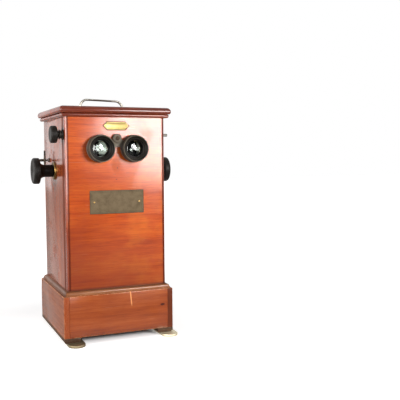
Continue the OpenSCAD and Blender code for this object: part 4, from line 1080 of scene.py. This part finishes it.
def step_marks(f, colour, roughness, coat):
    """The moulding is darker on its sides, and in the corner where it meets the walls."""
    side = f.rise(abs(f.x) - abs(f.y), -5, -2)
    groove = f.rise(f.z, 94, 96.5)
    return f.films(colour, (side.most(groove) * 0.6, (62, 36, 22))), roughness, coat * (1 - groove * 0.6)


# %% [markdown]
# Every board has its own seed, so that no two show the same figure, and its own three shades. The front is the
# most orange, the side walls are browner, and the lid has darkened most. The parts inside are only stained.

# %% The wood of each board
FRONT_SHADES = paint(148, 48, 4), paint(196, 78, 8), paint(218, 104, 18)
SIDE_SHADES = paint(106, 44, 19), paint(132, 58, 26), paint(154, 78, 40)
PLINTH_SHADES = paint(118, 46, 15), paint(154, 68, 20), paint(174, 86, 34)
PLINTH_SIDE_SHADES = paint(98, 46, 22), paint(128, 66, 34), paint(150, 86, 52)
LID_SHADES = paint(84, 30, 18), paint(122, 50, 30), paint(150, 72, 44)
STEP_SHADES = paint(96, 52, 28), paint(146, 88, 52), paint(178, 122, 80)
STAIN_SHADES = paint(58, 42, 34), paint(84, 62, 48), paint(104, 80, 62)
WORN, WORN_LID, WORN_STEP, WORN_STAIN = (paint(206, 148, 104), paint(176, 122, 88), paint(196, 146, 108),
                                         paint(130, 100, 76))


def behind_door(f):
    return 1 - f.rise(f.y, 86.4, 86.8)


uprights = (-half_x, -half_y, 0), (half_x, half_y, 500)
plinth_box = (-half_x - 10, -half_y - 10, 13.5), (half_x + 10, half_y + 10, 88.5)
front_finish = polished_wood("front_polish", "x", *uprights, FRONT_SHADES, WORN, 0.0, wear=0.7,
                             marks=front_marks_and_shade, inside=lambda f: f.rise(f.y, -88.6, -88.2))
left_finish = polished_wood("left_polish", "z", *uprights, SIDE_SHADES, WORN, 3.1, marks=wall_flank_shade,
                            inside=lambda f: f.rise(f.x, -84.2, -83.8))
right_finish = polished_wood("right_polish", "z", *uprights, SIDE_SHADES, WORN, 8.3, marks=wall_flank_shade,
                             inside=lambda f: 1 - f.rise(f.x, 83.8, 84.2))
lid_finish = polished_wood("lid_polish", "x", lid_low, lid_high, LID_SHADES, WORN_LID, 5.2, wear=0.5,
                           polish=0.75)
bead_finish = polished_wood("bead_polish", "ring", bead_low, bead_high, LID_SHADES, WORN_LID, 6.4, wear=0.3)
step_finish = polished_wood("step_polish", "ring", step_low, step_high, STEP_SHADES, WORN_STEP, 7.7, wear=0.7,
                            polish=0.6, marks=step_marks)
plinth_finishes = {}
for n, (side, along, shades, polish, marks) in enumerate((
        ("front", "x", PLINTH_SHADES, 1.0, plinth_marks_and_shade), ("back", "x", PLINTH_SHADES, 1.0, None),
        ("left", "y", PLINTH_SIDE_SHADES, 0.6, end_grain), ("right", "y", PLINTH_SIDE_SHADES, 0.6, end_grain))):
    plinth_finishes["plinth_" + side] = polished_wood(f"plinth_{side}_polish", along, *plinth_box, shades, WORN,
                                                      11.0 + 2.3 * n, polish=polish, marks=marks)
door_finish = polished_wood("door_polish", "z", (-DOOR_X, 86, 100.4), (DOOR_X, 96, 396.5), SIDE_SHADES, WORN,
                            23.0, wear=0.6, inside=behind_door)
rear_finish = polished_wood("rear_polish", "x", (-83.5, 86, 13.5), (83.5, 96, 415.5), SIDE_SHADES, WORN, 29.0,
                            wear=0.6, inside=behind_door)
runner_finish = polished_wood("runner_stain", "y", (-103.5, -106, 4.5), (103.5, 106, 13.5), STAIN_SHADES,
                              WORN_STAIN, 19.0, wear=0.4, polish=0.1)
inner_finish = polished_wood("inner_stain", "x", (-83.5, -88, 13.5), (83.5, 86, 23.5), STAIN_SHADES, WORN_STAIN,
                             31.0, wear=0.2, polish=0.0)
bush_finish = polished_wood("bush_stain", "x", (-97, 41, 327), (-83, 49, 335), STAIN_SHADES, WORN_STAIN, 33.0,
                            wear=0.2)
print("wood finishes:", sum(m.name.endswith(("polish", "stain")) for m in bpy.data.materials))

# %% [markdown]
# ## Metals
# Bare metal is all reflection, so its colour sits in the base colour with full metalness, and age shows as
# tarnish: brown and rougher in blotches. Brushed metal also keeps fine lines, which are a noise that is
# stretched along the way of the brush. The plates have marks of their own, and the straps are painted browner
# on the left and lighter on the right, as painted shade and painted light.

# %% Metals
def metal(name, clean, tarnish, amount, roughness, seed, lines=None, strength=0.25, marks=None):
    """Metal with tarnish in blotches; lines is the direction of brushing, as a stretch along x, y and z."""
    f = Finish(name, Metallic=1.0)
    blotch = f.noise(85, detail=5, roughness=0.62, shift=seed)
    fine = f.noise(900, detail=2, shift=seed + 4)
    aged = f.rise(blotch * 0.7 + fine * 0.3, 0.5 - 0.3 * amount, 0.86 - 0.3 * amount)
    brushed = f.noise(1800, lines or (1, 1, 1), detail=2, shift=seed + 8)
    colour = f.blend(aged * 0.85, clean, tarnish)
    colour = f.blend(brushed * 0.12, colour, tarnish)
    if marks:
        colour = marks(f, colour)
    grain = brushed + f.noise(240, detail=3, shift=seed + 12) * 0.8
    return f.set(Base_Color=colour, Roughness=roughness + aged * 0.22 + brushed * 0.08,
                 Normal=f.bump(grain, 0.00005, strength))


def small_rule(f, colour):
    """The small plate is dark along its cut edge."""
    return f.films(colour, ((1 - f.rise(small_gap(f), 0.0, 0.5)) * 0.9, (40, 30, 16)))


def large_rule(f, colour):
    """Two thin engraved lines round the large plate, and a darker margin where polish has gathered."""
    gap = (large_half_w - abs(f.x)).least(large_half_h - abs(f.z - large_z))
    lines = (1 - f.rise(abs(gap - 3.2), 0.15, 0.45)).most((1 - f.rise(abs(gap - 4.4), 0.1, 0.3)) * 0.7)
    return f.films(colour, (lines.most(1 - f.rise(gap, 0.2, 1.8)) * 0.6, (58, 48, 34)))


def strap_shading(f, colour):
    """The left strap is painted browner, as painted shade, and the right one lighter, as painted light."""
    right = f.rise(f.x, -50, 50)
    return f.films(colour, ((1 - right) * 0.4, (84, 72, 52)), (right * 0.7, (216, 206, 180)))


BRASS, BROWN_BRASS = paint(196, 164, 112), paint(92, 70, 42)
strap_finish = metal("dull_strap_brass", paint(156, 143, 116), paint(92, 80, 58), 0.5, 0.42, 1.0, (1, 14, 1),
                     marks=strap_shading)
nickel_finish = metal("worn_nickel", paint(150, 146, 138), paint(84, 78, 68), 0.45, 0.22, 2.0, (14, 1, 1))
plate_finish = metal("brown_plate_brass", paint(80, 69, 53), paint(72, 61, 46), 0.35, 0.52, 3.0, (22, 1, 1),
                     marks=large_rule)
bright_finish = metal("bright_plate_brass", paint(146, 130, 82), paint(122, 102, 60), 0.2, 0.34, 4.0,
                      (22, 1, 1), marks=small_rule)
pin_finish = metal("pin_brass", paint(196, 160, 96), paint(70, 52, 32), 0.6, 0.3, 5.0)
collar_finish = metal("collar_brass", paint(122, 94, 52), paint(62, 44, 24), 0.55, 0.18, 6.0)
turned_finish = metal("turned_brass", BRASS, BROWN_BRASS, 0.4, 0.3, 7.0)
hinge_finish = metal("hinge_brass", paint(206, 170, 100), BROWN_BRASS, 0.55, 0.34, 8.0, (1, 1, 12))
steel_finish = metal("bright_steel", paint(190, 188, 182), paint(118, 106, 92), 0.4, 0.28, 9.0)
dark_steel_finish = metal("dark_steel", paint(120, 116, 110), paint(66, 58, 50), 0.5, 0.4, 10.0)
brown_steel_finish = metal("browned_steel", paint(58, 48, 38), paint(40, 33, 26), 0.5, 0.5, 11.0)
print("metals:", sum(m.name.endswith(("brass", "steel", "nickel")) for m in bpy.data.materials))

# %% [markdown]
# ## Black parts
# The knobs and eyecups are moulded in a black hard rubber that goes greyish and loses its gloss where it is
# held. The rims, ledges and rings of the eyecups are painted lighter, partly wear and partly painted highlight.
# The bridge, the collar of the focus knob and the lever are painted black over metal, and the paint has rubbed
# through to brown on the high spots. The bridge is given a lighter grey-brown ground all over, a painted
# highlight in place of the sheen on its web.

# %% Black rubber and black paint
def black(name, ground, rubbed_colour, rub_amount, roughness, seed, shine=0.16, marks=None):
    f = Finish(name, Specular_IOR_Level=shine)
    haze = f.noise(70, detail=4, roughness=0.6, shift=seed)
    grit = f.noise(1400, detail=2, shift=seed + 5)
    rubbed = f.rise(haze * 0.55 + grit * 0.45, 0.66 - 0.2 * rub_amount, 0.8 - 0.2 * rub_amount)
    if marks:
        rubbed = rubbed.most(marks(f, grit))
    colour = f.blend(rubbed * 0.8, ground, rubbed_colour)
    return f.set(Base_Color=colour, Roughness=roughness + haze * 0.14 + rubbed * 0.1,
                 Normal=f.bump(grit + haze * 0.6, 0.00004, 0.35))


def rim_wear_and_highlight(f, grit):
    """The rim of an eyecup is painted grey where it touches the face, and so are its ledges and rings: partly
    wear, and partly painted highlights that make them show as thin bright lines.
    """
    out, deep = from_eyes(f), f.y - rim_y
    rim = (1 - f.rise(abs(out - 23.0), 0.3, 0.9)) * (1 - f.rise(deep, 0.2, 0.8))
    ledge = (1 - f.rise(abs(out - 18.2), 0.3, 0.8)) * (1 - f.rise(deep, 3.3, 4.0))
    rings = f.rise(out, RIM_R - 0.3, RIM_R - 0.05) * 0.4
    return (rim.most(ledge * 0.8).most(rings) * (0.7 + grit * 0.4)).least(1)


knob_finish = black("hard_rubber_knob", paint(30, 27, 24), paint(62, 54, 46), 0.45, 0.36, 1.3, shine=0.08)
cup_finish = black("hard_rubber_cup", paint(24, 20, 16), paint(122, 112, 96), 0.25, 0.26, 4.9, shine=0.05,
                   marks=rim_wear_and_highlight)
paint_finish = black("black_paint", paint(50, 44, 37), paint(112, 94, 68), 0.6, 0.34, 7.3)
# Painted highlight: the bridge's ground is a lighter grey-brown than the other black paint.
bridge_highlit_finish = black("bridge_paint_highlit", paint(108, 99, 86), paint(144, 122, 92), 0.6, 0.34, 7.9, shine=0.06)
lever_finish = black("lever_paint", paint(44, 38, 32), paint(120, 100, 76), 0.9, 0.32, 9.9)
inner_black_finish = black("inner_black", paint(16, 15, 15), paint(36, 32, 30), 0.3, 0.6, 12.1)
print("materials so far:", len(bpy.data.materials))

# %% [markdown]
# ## Glass
# Clear glass lets light through and reflects a little. The lenses carry a faint film of dust, which only the
# roughness shows. The window is ground on one face, so it scatters what passes, and the slides are edged
# with dark paper tape.

# %% Glass
def glass(name, tint, dust, seed, roughness=0.0, relief=0.0):
    f = Finish(name, IOR=1.5, **{"Transmission Weight": 1.0})
    film = f.rise(f.noise(160, detail=5, roughness=0.7, shift=seed), 0.5, 0.8)
    speck = f.noise(2600, detail=1, shift=seed + 3)
    return f.set(Base_Color=f.blend(film * 0.5, tint, deeper(tint, 0.9)), Roughness=roughness + film * dust,
                 Normal=f.bump(speck, 0.00002 + relief, 0.55 if relief else 0.05))


lens_finish = glass("lens_glass", paint(232, 240, 234), 0.05, 0.7)
ground_finish = glass("ground_glass", paint(240, 243, 238), 0.1, 2.2, 0.55, 0.0001)


def taped_glass():
    f = Finish("taped_slide_glass", IOR=1.5, **{"Transmission Weight": 1.0})
    tape = f.rise(abs(f.x), 50.2, 50.6).most(1 - f.rise(abs(f.x), 4.6, 5.0))
    cloudy = f.noise(120, detail=4, shift=1.9)
    return f.set(Base_Color=f.films(paint(214, 220, 212), (tape, (24, 22, 22))), Roughness=0.04 + cloudy * 0.08)


slide_finish = taped_glass()
print("materials in all:", len(bpy.data.materials))

# %% [markdown]
# ## Putting it together
# Every piece now gets its finish and the body that it moves with, and the node of the solid model that it
# stands for is hidden. One line says all of that for a piece.

# %% Pieces, finishes, bodies and nodes
def fit(piece, finish, body, slot, *stands_for):
    piece = bpy.data.objects[piece]
    piece.data.materials.clear()
    piece.data.materials.append(finish)
    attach(piece, body)
    if stands_for:
        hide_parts(*stands_for)


fit("front_board", front_finish, "cabinet", "cabinet_wood", "front_panel")
fit("left_wall", left_finish, "cabinet", "cabinet_wood", "left_side")
fit("right_wall", right_finish, "cabinet", "cabinet_wood", "right_side")
fit("lid_top", lid_finish, "cabinet", "lid_wood", "lid_board")
fit("lid_bead", bead_finish, "cabinet", "lid_wood", "lid_moulding")
fit("foot_moulding", step_finish, "cabinet", "lid_wood", "plinth_moulding")
for node, finish in plinth_finishes.items():
    fit(node + "_board", finish, "cabinet", "plinth_wood", node)
for side in ("left", "right"):
    fit(f"runner_{side}_batten", runner_finish, "cabinet", "runner_wood", f"runner_{side}")
    fit(f"foot_strap_{side}", strap_finish, "cabinet", "strap_metal", f"strap_{side}")
    fit(f"brass_collar_{side}", collar_finish, "cabinet", "bright_brass", f"collar_{side}")
    fit(f"main_knob_{side}", knob_finish, "main_drive", "black_bakelite", f"knob_{side}")
    fit(f"eyecup_{side}_turned", cup_finish, "eyepieces", "black_bakelite", f"eyecup_{side}")
fit("handle_bow", nickel_finish, "cabinet", "nickel", "handle")
fit("handle_feet", nickel_finish, "cabinet", "nickel", "handle_plates")
fit("small_plate_bright", bright_finish, "cabinet", "bright_brass", "small_plate")
fit("large_plate_dull", plate_finish, "cabinet", "plate_brass", "large_plate")
fit("pin_heads", pin_finish, "cabinet", "bright_brass", "plate_pins")
fit("lens_pair", lens_finish, "eyepieces", "clear_glass", "lenses")
fit("lens_ring_pair", inner_black_finish, "eyepieces", "black_metal", "lens_rings")
fit("bridge_casting", bridge_highlit_finish, "eyepieces", "black_metal", "bridge")
fit("bridge_screw_head", brown_steel_finish, "eyepieces", "steel", "bridge_screw")
fit("focus_knob_disc", knob_finish, "focus_drive", "black_bakelite", "focus_knob")
fit("focus_shaft_steel", dark_steel_finish, "focus_drive", "steel", "focus_shaft")
fit("focus_collar_black", paint_finish, "cabinet", "black_metal", "focus_collar")
fit("focus_bush_brass", collar_finish, "cabinet", "bright_brass", "focus_bush")
fit("lever", lever_finish, "detent", "black_metal", "detent_spindle")
fit("lever_bush", bush_finish, "cabinet", "runner_wood", "detent_bush")
fit("back_lower", rear_finish, "cabinet", "plinth_wood", "back_lower_board")
fit("back_upper", rear_finish, "cabinet", "cabinet_wood", "back_top_rail")
fit("door_board", door_finish, "door", "cabinet_wood", "rear_door")
fit("door_pull", turned_finish, "door", "bright_brass")
fit("hinge_door_half", hinge_finish, "door", "bright_brass")
fit("hinge_door_screws", dark_steel_finish, "door", "steel")
fit("hinge_wall_half", hinge_finish, "cabinet", "bright_brass", "frame_hinge_leaves")
fit("hinge_wall_screws", dark_steel_finish, "cabinet", "steel")
fit("turn_button_brass", hinge_finish, "button", "bright_brass", "turn_button")

# %% [markdown]
# The parts inside, and those that are plain already, keep the mesh of the solid model. They only need a
# finish.

# %% Finishes for the nodes that stay
for finish, stays in (
        (inner_finish, "floor_board"),
        (inner_black_finish, "septum"),
        (turned_finish, "sleeve_left sleeve_right barrel_left barrel_right rod_guide low_bearings "
                        "chain_wheels star_wheel low_roller focus_pinion"),
        (steel_finish, "focus_rod main_shaft slide_carriers"),
        (dark_steel_finish, "chain_bands detent_arm strap_screws"),
        (slide_finish, "glass_slides"),
        (ground_finish, "window_glass")):
    for node in stays.split():
        mesh = nodes[node].data
        mesh.materials.clear()
        mesh.materials.append(finish)
print("nodes that stay:", sum(not node.hide_render for node in nodes.values()))

# %% [markdown]
# ## Light, floor and camera
# Four soft boxes light the polished wood. The two on the right share one job: the first gives the light and
# the shadows and is not mirrored, and the second is only mirrored, as the broad glare at the upper right of
# the front. The two on the left light the side wall and draw the bright line down the rounded edge. The
# world adds an even fill. It looks white to the camera, and in a reflection it is white behind the box and
# dark in front of it, as a room would be.

# %% World and soft boxes
world = bpy.data.worlds.new("studio")
bpy.context.scene.world = world
world.use_nodes = True
tree = world.node_tree
backdrop = tree.nodes["Background"]


class Surroundings(Finish):
    """The world, written with the same sums as the finishes."""

    def __init__(self, tree):
        self.tree = tree


f = Surroundings(tree)
rays = {kind: f.ray(kind) for kind in ("Camera", "Glossy", "Transmission")}
way = f.node("ShaderNodeTexCoord", {}, {}, "Generated")
toward, across = (f.node("ShaderNodeSeparateXYZ", {}, {0: way}, axis) for axis in "YX")
FILL, ROOM = 0.17, 0.06
left_lift = 1 + (1 - f.rise(across, -0.45, -0.1)) * 0.5
white_side = f.rise(toward, -0.85, -0.45) * (1 - ROOM) * left_lift + ROOM
mirrored = rays["Glossy"].most(rays["Transmission"])
strength = rays["Camera"].most(mirrored * white_side).most((1 - mirrored) * FILL)
tree.links.new(strength.socket, backdrop.inputs["Strength"])
backdrop.inputs["Color"].default_value = (1, 1, 1, 1)


def soft_box(name, shape, place, aim, wide, high, watts):
    """A lamp with a flat face at a place, turned to a point, both in metres. The camera does not see it."""
    lamp = bpy.data.lights.new(name, "AREA")
    lamp.shape, lamp.size, lamp.size_y, lamp.energy = shape, wide, high, watts
    holder = bpy.data.objects.new(name, lamp)
    bpy.context.scene.collection.objects.link(holder)
    holder.location = place
    holder.rotation_euler = (Vector(aim) - Vector(place)).to_track_quat("-Z", "Y").to_euler()
    holder.visible_camera = False
    return holder


MIDDLE = (0.0, 0.0, 0.3)
right_box = soft_box("right_box", "RECTANGLE", (0.62, -1.5, 0.62), (0.0, -0.1, 0.28), 0.42, 0.42, 22.5)
right_glare = soft_box("right_glare", "ELLIPSE", (0.77, -1.5, 0.6), (0.0, -0.1, 0.3), 0.91, 0.72, 38)
soft_box("left_box", "RECTANGLE", (-1.5, -0.05, 0.6), MIDDLE, 0.9, 1.0, 25)
left_sheen = soft_box("left_sheen", "RECTANGLE", (-0.95, -1.2, 0.47), MIDDLE, 2.2, 0.64, 56)
right_box.visible_glossy = right_glare.visible_diffuse = left_sheen.visible_diffuse = False
print("soft boxes:", ", ".join(lamp.name for lamp in bpy.data.lights))

# %% [markdown]
# The floor is one large plane. To the camera it glows nearly white, except close to the box, where it stays
# dull and takes the shadow, and in a band behind the box, which is painted greyer as painted shade. In a
# reflection it glows behind the box and is dark in front of it, like the world.

# %% The floor
floor = start("studio_floor", bpy.ops.mesh.primitive_plane_add, size=14)
f = Finish("pale_floor", Roughness=0.9, Emission_Strength=1.0, Specular_IOR_Level=0.2)
away = (abs(f.x) - 104).most(abs(f.y) - 106)
glow = f.rise(away, -45, 4) * 0.6 + f.rise(away, 0, 260) * 0.3 + f.rise(away, 260, 620) * 0.6
# Painted shade: a grey band across the floor behind the box, as on a studio sweep.
painted_sweep_shade = f.rise(f.y, 50, 250) * (1 - f.rise(f.y, 350, 900)) * 0.3
camera_ray, glossy_ray = f.ray("Camera"), f.ray("Glossy")
behind = f.rise(f.y, -350, -120)
light = f.blend(camera_ray * glow * (1 - painted_sweep_shade), (0, 0, 0, 1), (1, 1, 1, 1))
f.set(Base_Color=f.blend(glossy_ray * (1 - behind), (0.82, 0.82, 0.82, 1), (0.16, 0.16, 0.16, 1)),
      Emission_Color=f.blend(glossy_ray * behind, light, (0.19, 0.18, 0.16, 1)))
floor.data.materials.append(f.material)
print("floor, m:", [round(d, 1) for d in floor.dimensions])

# %% [markdown]
# The camera stands about 1.3 m away, to the left of the middle and a little over the height of the
# eyepieces, and looks slightly down. A long lens keeps the box nearly free of perspective.

# %% Camera
CAMERA_PLACE = (-0.34831, -1.25165, 0.33910)
YAW, PITCH, ROLL, FOCAL_PX, IMAGE_PX = 23.993, 3.9085, -0.337, 655.876, 400
data = bpy.data.cameras.new("camera")
data.sensor_width = 36.0
data.lens = FOCAL_PX * data.sensor_width / IMAGE_PX
data.clip_start = 0.05
camera = bpy.data.objects.new("camera", data)
bpy.context.scene.collection.objects.link(camera)
yaw, pitch = math.radians(YAW), math.radians(PITCH)
forward = Vector((math.sin(yaw) * math.cos(pitch), math.cos(yaw) * math.cos(pitch), -math.sin(pitch)))
camera.location = CAMERA_PLACE
camera.rotation_euler = forward.to_track_quat("-Z", "Y").to_euler()
camera.rotation_euler.rotate_axis("Z", math.radians(ROLL))
bpy.context.scene.camera = camera
bpy.context.scene.view_settings.view_transform = "Standard"
print("camera lens:", round(data.lens, 2), "mm")
